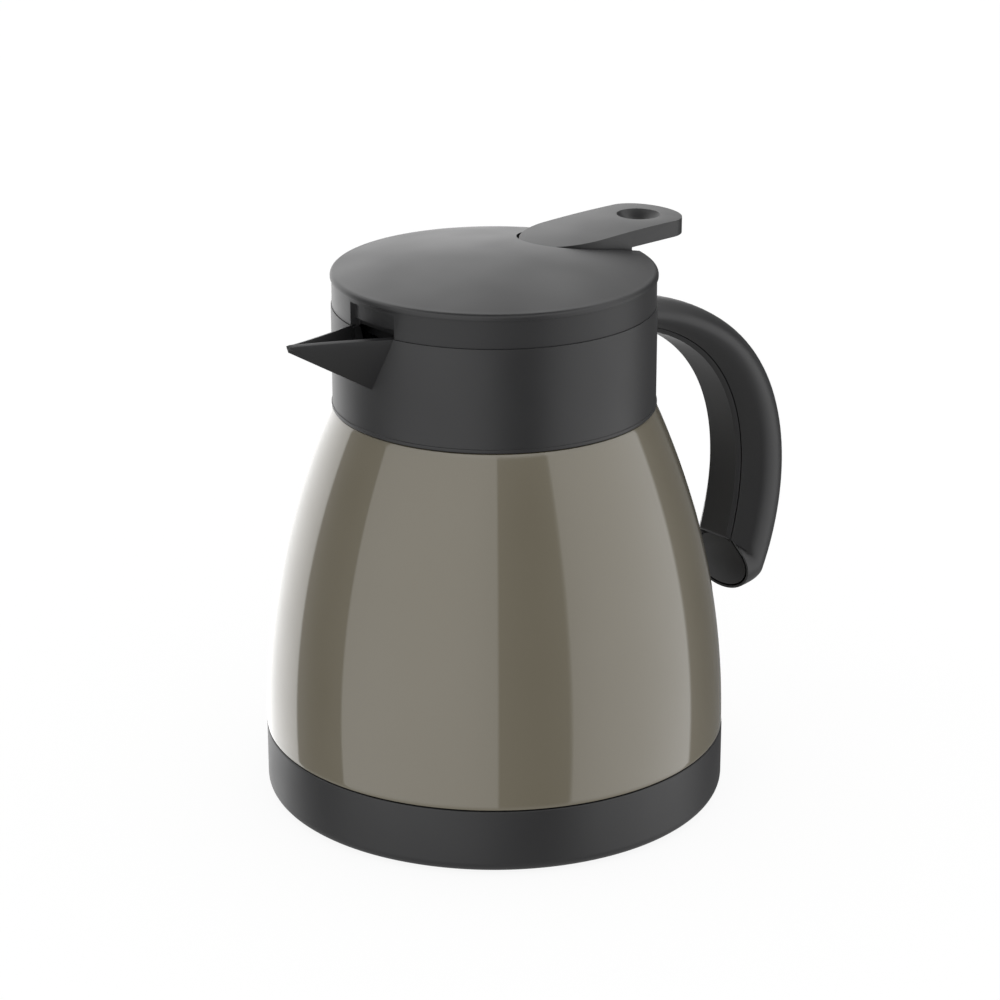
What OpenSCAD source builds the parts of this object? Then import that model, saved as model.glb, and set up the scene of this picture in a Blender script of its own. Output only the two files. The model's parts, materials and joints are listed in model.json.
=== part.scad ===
// Vacuum jug with a screw lid, a thumb lever that lifts the pouring valve and a free-ended handle.
// The jug stands on z = 0, its axis is Z, the handle points along +X and the spout along -X.

/* [Body] */
// Outer diameter of the plastic base cup
base_d = 130; // [126:0.5:136]
// Height of the base cup's upper edge
base_h = 19.3; // [18.5:0.1:22]
// Height of the steel bell between the base cup and the collar
bell_h = 93.9; // [86:0.5:104]
// Thickness of the steel sheet
shell_t = 0.8; // [0.6:0.05:0.9]
// Vacuum gap between the two steel walls
vacuum_gap = 4; // [3:0.1:4.2]
// How far the vessel's mouth lies inside the collar's outer face
mouth_inset = 8.7; // [8.3:0.1:10.2]

/* [Collar and spout] */
// Outer diameter of the collar
collar_d = 89.4; // [88.8:0.1:94]
// Height of the collar
collar_h = 28.9; // [28:0.1:32]
// Wall of the collar
collar_wall = 2.4; // [2:0.1:2.6]
// How far the spout's tip reaches out from the collar
spout_reach = 27.1; // [22:0.2:32]
// How far the spout's tip stands above the collar's edge
spout_tip_rise = 1.9; // [1:0.1:4]
// Depth of the spout where it leaves the collar
spout_depth = 15.6; // [13:0.1:16]
// Half the spout's width where it leaves the collar
spout_half_w = 9.2; // [7:0.1:10]
// Wall of the spout
spout_wall = 1.2; // [0.9:0.05:1.5]

/* [Handle] */
// How far the handle's back reaches out from the collar
handle_reach = 66.6; // [60:0.2:74]
// Drop from the top of the handle's root to its free end
handle_drop = 100.8; // [92:0.2:107]
// How far the handle's root lies below the collar's edge
handle_root_drop = 7.4; // [6.5:0.1:8.5]
// Greatest width of the grip
grip_w = 24; // [21:0.2:28]
// Width of the grip where it leaves the collar
grip_root_w = 19; // [18:0.2:22]
// Width of the flat strip that faces the jug
strip_w = 10.6; // [9:0.1:12]
// Wall of the grip shell
grip_wall = 2.2; // [1.8:0.1:2.4]

/* [Lid] */
// Height of the lid's crest above the collar's edge
lid_rim_h = 9.5; // [9.3:0.1:11]
// Rise of the dome from the crest to the middle
dome_rise = 5.5; // [5.2:0.1:6]
// Wall of the lid cover
lid_wall = 2.1; // [1.8:0.05:2.2]
// Rise of the lid in one turn of its thread
thread_lead = 24; // [20:1:28]

/* [Lever and valve] */
// Distance from the jug's axis to the lever's front tip
lever_tip_x = 12.4; // [11.4:0.1:14]
// How far the lever's thumb end reaches past the lid's edge
lever_overhang = 20.9; // [18:0.2:25]
// Width of the lever
lever_w = 25; // [21:0.2:27]
// How far the lever's pin lies inside the lid's edge
pivot_inset = 14.85; // [13.9:0.1:15.8]
// Radius of the lever's pin
pin_r = 1.5; // [1:0.05:1.8]
// Radius of the valve stem
stem_r = 2.4; // [1.8:0.05:2.5]
// Radius of the pouring hole in the valve seat
seat_hole_r = 10; // [7:0.1:12]

/* [Hidden] */
$fn = 96;

// Clearances, and the overrun that every cut uses
over = 1;
seam = 0.3;     // gap at a visible seam
fit = 0.1;      // slip fit between two pieces that don't move
run_fit = 0.05; // running fit of a pin or a stem
play = 0.4;     // room for a piece that moves past another
weld = 0.5;     // how far a rib or a lug roots in its wall
arc_fn = 360;   // faces on the large arcs

// Foot and base cup
cup_r = base_d / 2;
cup_wall = 2.8;
cup_corner = 3.2;
cup_lift = 0.6;
cup_floor = 2.4;
cup_rib_r = 52;
cup_rib_t = 1.6;
cup_rib_h = 5.6;
pad_r = 48;
pad_t = 1.8;

// Steel walls: the bell is one arc, upright where it meets the base cup
body_top_h = base_h + bell_h;
bell_foot_r = cup_r - fit;
bell_top_r = collar_d / 2 - fit;
bell_in = bell_foot_r - bell_top_r;
bell_arc_r = (bell_h * bell_h + bell_in * bell_in) / (2 * bell_in);
bell_cx = bell_foot_r - bell_arc_r;
joggle_r = cup_r - cup_wall - fit;
plate_h = cup_lift + cup_floor + cup_rib_h;
plate_rim_h = 2;
shell_foot_h = plate_h - plate_rim_h;
mouth_r = collar_d / 2 - mouth_inset;
neck_gap = 3.5;
neck_len = 8.8;
neck_r = mouth_r + neck_gap;
mouth_h = body_top_h + neck_len;
vessel_inset = shell_t + vacuum_gap;
vessel_foot_r = bell_foot_r - vessel_inset;
vessel_clear = 3.2;
vessel_floor_h = plate_h + shell_t + vessel_clear;
vessel_corner = base_h - vessel_floor_h;
vessel_shoulder_h = body_top_h - vessel_inset;
seal_r = 3;
seal_t = 1.2;
pump_hole_r = 1.5;
guard_r = 9;
guard_t = 1.2;
guard_h = 3.2;
getter_r = 6;
getter_t = 1.5;
getter_x = 25;

// Collar
collar_r = collar_d / 2;
collar_in_r = collar_r - collar_wall;
collar_foot_h = body_top_h + seam;
collar_top_h = body_top_h + collar_h;
bead_t = 0.25;
bead_h = 1;
sleeve_t = 1.6;
gasket_t = 1.2;
gasket_w = 2.2;
ledge_h = mouth_h + gasket_t;
ledge_t = 2;
ledge_back = 0.9;
ledge_in_r = mouth_r + ledge_back;

// Spout
spout_root_share = 0.7;
spout_root_r = collar_r - collar_wall * spout_root_share;
spout_tip_r = collar_r + spout_reach;
spout_tip_h = collar_top_h + spout_tip_rise;
spout_keel_h = collar_top_h - spout_depth;
spout_tip_half = 0.9;
spout_tip_depth = 1.6;
spout_rings = 12;
spout_taper = 1.2;
spout_keel_wall = 1.9;
side_w_shares = [1, 0.74, 0.42, 0.1];
side_h_shares = [0, 0.34, 0.7, 1];

// Handle: two Bezier lines, points as shares of the reach and the drop. At the free end the
// toe line carries the back round under the end, so that the end faces the jug.
inner_line_shares = [[0, 0.083], [0.625, 0.165], [0.815, 0.472], [0.653, 0.8157]];
back_line_shares = [[0, 0], [1.02, 0.0695], [1.147, 0.6207], [0.878, 0.9653]];
toe_line_shares = [[0.878, 0.9653], [0.853, 0.996], [0.7207, 1]];
toe_inner_shares = [0.685, 0.82];
handle_root_h = collar_top_h - handle_root_drop;
grip_rings = 20;
toe_rings = 5;
toe_wall = 0.7;
grip_centre_share = 0.52;
grip_angles = [-30, -10, 12, 36, 62, 90];
widen_share = 0.3;
strip_t = 1.4;
strip_gap = 0.15;
plug_start_share = 0.95;
plug_gap = 0.6;
plug_lead = 0.3;
boss_r = 2.6;
boss_len = 11;
boss_y = 4.6;
boss_drop = 4.9;
boss_h = handle_root_h - boss_drop;

// Screws
screw_r = 1.3;
screw_head_r = 2.5;
screw_head_t = 1.2;

// Thread between collar and stopper
thread_starts = 4;
thread_span = 50;
thread_depth = 2.2;
thread_root_h = 2.4;
thread_tip_h = 1.6;
thread_play = 0.2;
thread_below = 4.6;
thread_z = collar_top_h - thread_below;
stopper_gap = 3.3;
stopper_r = collar_in_r - stopper_gap;
stopper_wall = 2;
lug_tilt = atan(thread_lead / (2 * PI * stopper_r));
thread_drop = (thread_root_h + thread_tip_h) / 2 + thread_play;

// Stopper
tail_gap = 2.5;
tail_r = mouth_r - tail_gap;
tail_wall = 2.2;
tail_len = 16.7;
step_h = ledge_h + ledge_t + play;
step_t = 2;
tail_foot_h = step_h - tail_len;
groove_below = 6;
groove_h = mouth_h - groove_below;
groove_w = 4;
groove_d = 1;
lid_foot_h = collar_top_h + seam;
deck_up = 0.2;
deck_h = lid_foot_h + deck_up;
deck_t = 1.8;
deck_top = deck_h + deck_t;
window_w = 18;
window_sill = 0.6;
window_head = 3.4;
window_z = step_h + step_t + window_sill;
window_h = deck_h - window_head - window_z;
vent_r = 1.5;
guide_r = 7.9;
guide_flange_r = 10;
guide_flange_t = 1.2;
wiper_t = 1.2;
wiper_w = 1.8;
seat_flange_t = 1.3;
seat_t = 1.7;
seat_lip_t = 1.2;
seat_lip_h = 0.4;
seat_h = tail_foot_h + seat_t;

// Lid cover
lid_overhang = 0.15;
lid_r = collar_r + lid_overhang;
lid_edge = 1.3;
lid_lip = 0.4;
lid_lip_drop = 0.5;
lid_crest_h = collar_top_h + lid_rim_h;
skirt_r = lid_r - lid_lip;
skirt_in_r = skirt_r - lid_wall;
deck_r = skirt_in_r - fit;
dome_r = lid_r - lid_edge;
dome_arc_r = (dome_r * dome_r + dome_rise * dome_rise) / (2 * dome_rise);
dome_top_h = lid_crest_h + dome_rise;
dome_cz = dome_top_h - dome_arc_r;
lip_h = lid_crest_h - lid_edge - lid_lip_drop;
port_w = 18.4;
port_drop = 2.9;
port_top_h = lid_crest_h - port_drop;
baffle_inset = 3.3;
baffle_r = lid_r - baffle_inset;
baffle_t = 1.8;
baffle_span = 34;
post_r = 3;
post_inset = 12.25;
post_ring_r = deck_r - post_inset;
post_angles = [100, 180, 260];
post_bore_h = 6.5;

// Lever
lever_top_drop = 1.4;
lever_top_h = dome_top_h - lever_top_drop;
lever_slope = 1.75;
lever_over_rim = 0.8;
lever_under_h = lid_crest_h + lever_over_rim;
lever_over_deck = 2.2;
lever_low_h = deck_top + lever_over_deck;
lever_front_len = 16.5;
lever_end_len = 9.8;
lever_end_x = lid_r + lever_overhang;
pivot_x = lid_r - pivot_inset;
lever_gap = 0.6;
slot_wall = 2;
slot_back = 0.85;
slot_end_x = skirt_in_r - slot_back;
deep_end_x = slot_end_x - over;
pivot_drop = 2.1;
pivot_h = lid_crest_h - pivot_drop;
rim_cut_d = 2;
rim_cut_h = lid_crest_h - rim_cut_d;
dimple_back = 10.8;
dimple_x = lever_end_x - dimple_back;
dimple_r = 6.2;
dimple_d = 1.6;
dimple_ball_r = (dimple_r * dimple_r + dimple_d * dimple_d) / (2 * dimple_d);
arm_w = 12;
arm_t = 2.3;
arm_low_h = deck_top + play;
arm_back = 8;
arm_end_x = pivot_x - arm_back;
fork_reach = 2;
fork_gap = 0.7;
arm_door_rise = 1;
arm_door_h = lid_crest_h + arm_door_rise;

// Valve
washer_t = 1.2;
washer_h = seat_h + seat_lip_h + fit;
plug_h = washer_h + washer_t;
plug_t = 3.6;
plug_lap = 3;
plug_r = seat_hole_r + plug_lap;
nut_h = arm_low_h + arm_t + play;
nut_r = 5;
nut_t = 1.9;
spigot_r = 1.6;
spring_r = 4.6;
wire_r = 0.5;
spring_turns = 7;
spring_steps = 14;
spring_sides = 6;
spring_play = 0.2;
spring_low = plug_h + plug_t + wire_r + spring_play;
spring_high = deck_h - guide_flange_t - wire_r - spring_play;

// Plain building blocks

// Rectangle in the half plane that is turned about the axis
module band(r0, r1, z0, z1) {
    translate([r0, z0]) square([r1 - r0, z1 - z0]);
}

// Wall along the bell's arc, set in from the outer face
module bell_band(inset, wall, z0, z1) {
    intersection() {
        translate([bell_cx, base_h]) difference() {
            circle(r = bell_arc_r - inset, $fn = arc_fn);
            circle(r = bell_arc_r - inset - wall, $fn = arc_fn);
        }
        band(0, cup_r, z0, z1);
    }
}

// Quarter of a round corner that turns from a floor up into a wall
module corner_band(r, wall) {
    intersection() {
        difference() {
            circle(r = r);
            circle(r = r - wall);
        }
        translate([0, -r]) square([r, r]);
    }
}

// Radius of the bell's arc at a height, set in from the outer face
function bell_r(inset, z) =
    bell_cx + sqrt(pow(bell_arc_r - inset, 2) - pow(z - base_h, 2));

// Closed skin over rings of equally many points
module skin(rings) {
    n = len(rings[0]);
    m = len(rings);
    sides = [for (i = [0 : m - 2], j = [0 : n - 1])
        each [[i * n + j, (i + 1) * n + j, i * n + (j + 1) % n],
              [i * n + (j + 1) % n, (i + 1) * n + j, (i + 1) * n + (j + 1) % n]]];
    half = n / 2;
    near = [for (j = [0 : half - 2]) [j, j + 1, n - 2 - j, n - 1 - j]];
    far = [for (f = near) [for (k = [3 : -1 : 0]) f[k] + (m - 1) * n]];
    polyhedron(points = [for (ring = rings) each ring], faces = concat(sides, near, far));
}

// Screw with its head at the origin and its shank along +Z
module screw(len) {
    cylinder(r = screw_r, h = len);
    translate([0, 0, -screw_head_t]) cylinder(r = screw_head_r, h = screw_head_t);
}

// One thread lug of an arc, tilted so that it follows the helix
module thread_lug(r_root, r_tip, z) {
    half_root = thread_root_h / 2;
    half_tip = thread_tip_h / 2;
    translate([0, 0, z]) rotate([lug_tilt, 0, 0]) rotate(-thread_span / 2)
        rotate_extrude(angle = thread_span)
            polygon(r_root > r_tip
                ? [[r_root, -half_root], [r_root, half_root], [r_tip, half_tip], [r_tip, -half_tip]]
                : [[r_root, half_root], [r_root, -half_root], [r_tip, -half_tip], [r_tip, half_tip]]);
}

module thread_lugs(r_root, r_tip, z) {
    for (i = [0 : thread_starts - 1])
        rotate((i + 0.5) * 360 / thread_starts) thread_lug(r_root, r_tip, z);
}

// Body

module foot_pad() {
    color([0.16, 0.16, 0.17]) cylinder(r = pad_r, h = pad_t);
}

module base_cup() {
    color([0.20, 0.20, 0.21]) rotate_extrude() difference() {
        union() {
            band(0, cup_r - cup_corner, cup_lift, cup_lift + cup_floor);
            translate([cup_r - cup_corner, cup_lift + cup_corner]) corner_band(cup_corner, cup_corner);
            band(cup_r - cup_wall, cup_r, cup_lift + cup_corner, base_h - seam);
            band(cup_rib_r - cup_rib_t, cup_rib_r, cup_lift, plate_h);
        }
        band(0, pad_r + fit, 0, pad_t);
    }
}

module outer_shell() {
    color([0.46, 0.43, 0.39]) rotate_extrude() {
        bell_band(0, shell_t, base_h, body_top_h);
        band(neck_r - shell_t, bell_top_r, body_top_h - shell_t, body_top_h);
        band(neck_r - shell_t, neck_r, body_top_h - shell_t, mouth_h);
        band(mouth_r + shell_t, neck_r, mouth_h - shell_t, mouth_h);
        band(joggle_r - shell_t, bell_foot_r, base_h, base_h + shell_t);
        band(joggle_r - shell_t, joggle_r, shell_foot_h, base_h + shell_t);
    }
}

module shell_bottom() {
    color([0.70, 0.70, 0.70]) rotate_extrude() {
        band(pump_hole_r, joggle_r - shell_t, plate_h, plate_h + shell_t);
        band(joggle_r - 2 * shell_t, joggle_r - shell_t, shell_foot_h, plate_h + shell_t);
    }
}

module vacuum_seal() {
    color([0.80, 0.78, 0.72]) {
        translate([0, 0, plate_h - seal_t]) cylinder(r = seal_r, h = seal_t);
        translate([0, 0, plate_h - seal_t]) cylinder(r = pump_hole_r - fit, h = seal_t + shell_t);
    }
}

module seal_guard() {
    color([0.22, 0.22, 0.23]) rotate_extrude() {
        band(0, guard_r, plate_h - guard_h, plate_h - guard_h + guard_t);
        band(guard_r - guard_t, guard_r, plate_h - guard_h, plate_h);
    }
}

module getter() {
    color([0.35, 0.35, 0.37]) translate([getter_x, 0, plate_h + shell_t])
        cylinder(r = getter_r, h = getter_t);
}

module vessel_bottom() {
    color([0.76, 0.76, 0.77]) rotate_extrude() {
        band(0, vessel_foot_r - vessel_corner, vessel_floor_h, vessel_floor_h + shell_t);
        translate([vessel_foot_r - vessel_corner, base_h]) corner_band(vessel_corner, shell_t);
    }
}

module inner_vessel() {
    color([0.78, 0.78, 0.79]) rotate_extrude() {
        bell_band(vessel_inset, shell_t, base_h, vessel_shoulder_h);
        band(mouth_r, bell_r(vessel_inset, vessel_shoulder_h),
             vessel_shoulder_h - shell_t, vessel_shoulder_h);
        band(mouth_r, mouth_r + shell_t, vessel_shoulder_h - shell_t, mouth_h);
    }
}

// Collar with its spout

function spout_x(u) = -(spout_root_r + (spout_tip_r - spout_root_r) * u);
function spout_rim(u) = collar_top_h + (spout_tip_h - collar_top_h) * u;
function spout_keel(u) = spout_keel_h + (spout_tip_h - spout_tip_depth - spout_keel_h) * u;
function spout_w(u) = spout_tip_half + (spout_half_w - spout_tip_half) * pow(1 - u, spout_taper);

// Half a V section, from the rim down to the keel
function spout_side(u, wall, keel_wall) =
    let (w = spout_w(u) - min(wall, spout_w(u) / 2),
         low = spout_keel(u) + min(keel_wall, (spout_rim(u) - spout_keel(u)) / 2))
    [for (k = [0 : len(side_w_shares) - 1])
        [w * side_w_shares[k], spout_rim(u) + (low - spout_rim(u)) * side_h_shares[k]]];

function mirror_back(side) = [for (k = [len(side) - 1 : -1 : 0]) [-side[k][0], side[k][1]]];
function backwards(list) = [for (k = [len(list) - 1 : -1 : 0]) list[k]];

module spout() {
    skin([for (i = [0 : spout_rings])
        let (u = i / spout_rings,
             outer = spout_side(u, 0, 0),
             inner = spout_side(u, spout_wall, spout_keel_wall))
        [for (p = concat(outer, mirror_back(outer), backwards(concat(inner, mirror_back(inner)))))
            [spout_x(u), p[0], p[1]]]]);
}

// What the pour runs through in the collar's wall, as wide as the spout is just outside it
module spout_channel() {
    end_r = collar_r + over;
    side = spout_side((end_r - spout_root_r) / (spout_tip_r - spout_root_r), spout_wall, spout_keel_wall);
    top = collar_top_h + over;
    rotate([90, 0, -90]) translate([0, 0, ledge_in_r])
        linear_extrude(height = end_r - ledge_in_r)
            polygon(concat([[side[0][0], top]], side, mirror_back(side), [[-side[0][0], top]]));
}

module collar() {
    color([0.23, 0.23, 0.24]) difference() {
        union() {
            rotate_extrude() {
                band(collar_in_r, collar_r, collar_foot_h, collar_top_h);
                band(collar_in_r, collar_r + bead_t, collar_foot_h, collar_foot_h + bead_h);
                band(neck_r + fit, neck_r + fit + sleeve_t, collar_foot_h, ledge_h + weld);
                band(ledge_in_r, collar_in_r + weld, ledge_h, ledge_h + ledge_t);
            }
            thread_lugs(collar_in_r + weld, collar_in_r - thread_depth, thread_z);
            spout();
        }
        spout_channel();
        for (side = [-1, 1])
            translate([0, side * boss_y, boss_h]) rotate([0, 90, 0])
                cylinder(r = screw_r + fit, h = collar_r + over);
    }
}

module collar_gasket() {
    color([0.85, 0.85, 0.83]) rotate_extrude()
        band(ledge_in_r, ledge_in_r + gasket_w, mouth_h, mouth_h + gasket_t);
}

// Handle

function bezier(p, t) =
    pow(1 - t, 3) * p[0] + 3 * t * pow(1 - t, 2) * p[1] + 3 * t * t * (1 - t) * p[2] + pow(t, 3) * p[3];
function handle_line(shares) =
    [for (s = shares) [collar_r + fit + handle_reach * s[0], handle_root_h - handle_drop * s[1]]];

// Places on the strip's face and on the back: t from 0 to 1 along the grip, to 2 round its toe
function inner_at(t) =
    let (p = bezier(handle_line(inner_line_shares), min(t, 1)), q = handle_line([toe_inner_shares])[0])
    p + (q - p) * max(t - 1, 0);
function back_at(t) =
    let (toe = handle_line(toe_line_shares), u = t - 1)
    t <= 1 ? bezier(handle_line(back_line_shares), t)
        : (1 - u) * (1 - u) * toe[0] + 2 * u * (1 - u) * toe[1] + u * u * toe[2];
function wall_at(t) = grip_wall + (toe_wall - grip_wall) * max(t - 1, 0);
function grip_half(t) =
    let (s = min(t / widen_share, 1)) (grip_root_w + (grip_w - grip_root_w) * s * s * (3 - 2 * s)) / 2;

// A place in the handle: depth from the strip's face towards the back, and the offset sideways.
// The root meets the collar's round as it lies at the offset hug.
function grip_point(t, depth, side, hug) =
    let (a = inner_at(t), b = back_at(t), p = a + (b - a) * depth / norm(b - a))
    [t > 0 ? p[0] : sqrt(pow(collar_r + fit, 2) - hug * hug), side, p[1]];

function grip_depth(t) = norm(back_at(t) - inner_at(t));

// Half the grip's outline as depth and half width, set in by a wall
function grip_oval(t, wall) =
    let (d = grip_depth(t), mid = d * grip_centre_share)
    [for (a = grip_angles) [mid + (d - mid - wall) * sin(a), (grip_half(t) - wall) * cos(a)]];

// Where the flared side meets a given depth
function flare_w(t, depth, wall) =
    let (first = grip_oval(t, wall)[0], w = strip_w / 2 - wall)
    w + (first[1] - w) * depth / first[0];

function place(t, list) = [for (p = list) grip_point(t, p[0], p[1], p[1])];
function place_flat(t, list) = [for (p = list) grip_point(t, p[0], p[1], 0)];

module handle_shell() {
    start = strip_t + strip_gap;
    color([0.22, 0.22, 0.23]) difference() {
        union() {
            skin([for (t = concat([for (i = [0 : grip_rings]) i / grip_rings],
                                  [for (i = [1 : toe_rings]) 1 + i / toe_rings]))
                let (wall = wall_at(t),
                     outer = concat([[start, flare_w(t, start, 0)]], grip_oval(t, 0)),
                     inner = concat([[start, flare_w(t, start, wall)]], grip_oval(t, wall)),
                     back = [for (k = [len(outer) - 2 : -1 : 0]) [outer[k][0], -outer[k][1]]],
                     inner_back = [for (k = [len(inner) - 2 : -1 : 0]) [inner[k][0], -inner[k][1]]])
                place(t, concat(outer, back, backwards(concat(inner, inner_back))))]);
            for (side = [-1, 1])
                translate([collar_r + fit, side * boss_y, boss_h]) rotate([0, 90, 0])
                    cylinder(r = boss_r, h = boss_len);
        }
        for (side = [-1, 1])
            translate([collar_r, side * boss_y, boss_h]) rotate([0, 90, 0])
                cylinder(r = screw_r + run_fit, h = boss_len);
    }
}

// Flat strip that closes the grip, with the plug that closes its free end
module handle_strip() {
    color([0.24, 0.24, 0.25]) {
        skin([for (i = [0 : grip_rings])
            let (t = i / grip_rings, w = flare_w(t, strip_t, 0))
            place_flat(t, [[0, strip_w / 2], [strip_t, w], [strip_t, -w], [0, -strip_w / 2]])]);
        skin([for (t = concat([plug_start_share], [for (i = [0 : toe_rings]) 1 + max(i, plug_lead) / toe_rings]))
            let (inset = wall_at(t) + plug_gap,
                 side = concat([[strip_t - strip_gap, flare_w(t, strip_t, inset)]], grip_oval(t, inset)))
            place(t, concat(side, [for (k = [len(side) - 1 : -1 : 0]) [side[k][0], -side[k][1]]]))]);
    }
}

module handle_screws() {
    color([0.72, 0.72, 0.74]) for (side = [-1, 1])
        translate([sqrt(pow(collar_in_r, 2) - pow(boss_y + screw_head_r, 2)), side * boss_y, boss_h])
            rotate([0, 90, 0]) screw(boss_len);
}

// Lid: the stopper and what it holds

module stopper_seal() {
    color([0.88, 0.88, 0.86]) rotate_extrude()
        band(tail_r - groove_d + fit, mouth_r - fit, groove_h + fit, groove_h + groove_w - fit);
}

module stopper_body() {
    color([0.22, 0.22, 0.23]) difference() {
        union() {
            rotate_extrude() difference() {
                union() {
                    band(tail_r - tail_wall, tail_r, tail_foot_h, step_h + step_t);
                    band(tail_r - tail_wall, stopper_r, step_h, step_h + step_t);
                    band(stopper_r - stopper_wall, stopper_r, step_h, deck_top);
                    band(guide_r + fit, deck_r, deck_h, deck_top);
                }
                band(tail_r - groove_d, tail_r + over, groove_h, groove_h + groove_w);
            }
            thread_lugs(stopper_r - weld, stopper_r + thread_depth, thread_z - thread_drop);
        }
        translate([-stopper_r - over, -window_w / 2, window_z])
            cube([stopper_wall + 2 * over, window_w, window_h]);
        translate([stopper_r - stopper_wall - over, 0, window_z + window_h])
            rotate([0, 90, 0]) cylinder(r = vent_r, h = stopper_wall + 2 * over);
        translate([-deck_r - over, -port_w / 2, deck_h - over])
            cube([deck_r - baffle_r + over, port_w, deck_t + 2 * over]);
        for (a = post_angles) rotate(a) translate([post_ring_r, 0, deck_h - over])
            cylinder(r = screw_r + fit, h = deck_t + 2 * over);
    }
}

module valve_seat() {
    color([0.24, 0.24, 0.25]) rotate_extrude() {
        band(seat_hole_r, tail_r, tail_foot_h - seat_flange_t, tail_foot_h);
        band(seat_hole_r, tail_r - tail_wall - fit, tail_foot_h - seat_flange_t, seat_h);
        band(seat_hole_r, seat_hole_r + seat_lip_t, seat_h, seat_h + seat_lip_h);
    }
}

module stem_guide() {
    color([0.80, 0.80, 0.78]) rotate_extrude() difference() {
        union() {
            band(stem_r + run_fit, guide_r, deck_h - guide_flange_t, deck_top);
            band(stem_r + run_fit, guide_flange_r, deck_h - guide_flange_t, deck_h);
        }
        band(0, stem_r + wiper_w, deck_h - wiper_t / 2, deck_h + wiper_t / 2);
    }
}

module stem_wiper() {
    color([0.88, 0.88, 0.86]) rotate_extrude()
        band(stem_r + run_fit, stem_r + wiper_w - run_fit,
             deck_h - wiper_t / 2 + run_fit, deck_h + wiper_t / 2 - run_fit);
}

// Lid: the cover

// Plan of the lever, grown by a gap all round
module lever_plan(grow) {
    half = lever_w / 2 + grow;
    front = lever_tip_x + lever_front_len;
    back = lever_end_x - lever_end_len;
    polygon(concat(
        [for (a = [90 : 10 : 270]) [front + (lever_front_len + grow) * cos(a), half * sin(a)]],
        [for (a = [-90 : 10 : 90]) [back + (lever_end_len + grow) * cos(a), half * sin(a)]]));
}

module slot_plan(grow) {
    intersection() {
        lever_plan(grow);
        translate([0, -lever_w]) square([slot_end_x + grow - lever_gap, 2 * lever_w]);
    }
}

module lid_shell() {
    rotate_extrude() {
        intersection() {
            translate([0, dome_cz]) difference() {
                circle(r = dome_arc_r, $fn = arc_fn);
                circle(r = dome_arc_r - lid_wall, $fn = arc_fn);
            }
            band(0, dome_r, lid_foot_h, dome_top_h);
        }
        translate([dome_r, lid_crest_h - lid_edge]) intersection() {
            circle(r = lid_edge);
            square([lid_edge, lid_edge]);
        }
        band(skirt_in_r, dome_r, lip_h, lid_crest_h);
        band(skirt_in_r, lid_r, lip_h, lid_crest_h - lid_edge);
        band(skirt_in_r, skirt_r, lid_foot_h, lip_h);
    }
}

module lid_cover() {
    color([0.27, 0.27, 0.28]) difference() {
        union() {
            lid_shell();
            intersection() {
                union() {
                    translate([0, 0, deck_top]) linear_extrude(height = dome_top_h - deck_top)
                        slot_plan(lever_gap + slot_wall);
                    for (a = post_angles) rotate(a) translate([post_ring_r, 0, deck_top])
                        cylinder(r = post_r, h = dome_top_h - deck_top);
                    translate([0, 0, deck_top]) rotate(180 - baffle_span / 2)
                        rotate_extrude(angle = baffle_span)
                            band(baffle_r - baffle_t, baffle_r, 0, dome_top_h - deck_top);
                }
                translate([0, 0, dome_cz]) sphere(r = dome_arc_r - lid_wall / 2, $fn = arc_fn);
            }
        }
        translate([0, 0, deck_h]) linear_extrude(height = dome_top_h - deck_h + over) slot_plan(lever_gap);
        translate([slot_end_x - over, -lever_w / 2 - lever_gap, rim_cut_h])
            cube([lid_r - slot_end_x + 2 * over, lever_w + 2 * lever_gap, dome_top_h - rim_cut_h]);
        translate([lever_tip_x - 2 * slot_wall - lever_gap, -arm_w / 2 - lever_gap, deck_h])
            cube([arm_w, arm_w + 2 * lever_gap, arm_door_h - deck_h]);
        translate([-lid_r - over, -port_w / 2, lid_foot_h - over])
            cube([lid_r - skirt_in_r + 2 * over, port_w, port_top_h - lid_foot_h + over]);
        translate([pivot_x, 0, pivot_h]) rotate([90, 0, 0])
            cylinder(r = pin_r, h = lever_w + 2 * lever_gap + 2 * slot_wall + over, center = true);
        for (a = post_angles) rotate(a) translate([post_ring_r, 0, deck_h])
            cylinder(r = screw_r + run_fit, h = post_bore_h);
    }
}

module lid_screws() {
    color([0.72, 0.72, 0.74]) for (a = post_angles)
        rotate(a) translate([post_ring_r, 0, deck_h]) screw(post_bore_h - fit);
}

module lever_pin() {
    color([0.75, 0.75, 0.77]) translate([pivot_x, 0, pivot_h]) rotate([90, 0, 0])
        cylinder(r = pin_r, h = lever_w + 2 * lever_gap + 2 * slot_wall, center = true);
}

// Lever

module lever() {
    color([0.28, 0.28, 0.29]) difference() {
        union() {
            difference() {
                translate([0, 0, lever_low_h])
                    linear_extrude(height = dome_top_h + over - lever_low_h) lever_plan(0);
                translate([deep_end_x, -lever_w, lever_low_h - over])
                    cube([lever_end_x, 2 * lever_w, lever_under_h - lever_low_h + over]);
                translate([lever_tip_x, -lever_w, lever_top_h]) rotate([0, -lever_slope, 0])
                    translate([-over, 0, 0]) cube([lever_end_x, 2 * lever_w, lever_w]);
            }
            translate([-fork_reach, -arm_w / 2, arm_low_h]) cube([arm_end_x + fork_reach, arm_w, arm_t]);
        }
        translate([dimple_x, 0, lever_top_h + dimple_ball_r - dimple_d
                   + (dimple_x - lever_tip_x) * tan(lever_slope)])
            sphere(r = dimple_ball_r);
        translate([pivot_x, 0, pivot_h]) rotate([90, 0, 0])
            cylinder(r = pin_r + run_fit, h = lever_w + over, center = true);
        translate([0, 0, arm_low_h - over]) cylinder(r = stem_r + fork_gap, h = arm_t + 2 * over);
        translate([-fork_reach - over, -stem_r - fork_gap, arm_low_h - over])
            cube([fork_reach + over, 2 * (stem_r + fork_gap), arm_t + 2 * over]);
    }
}

// Valve

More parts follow.
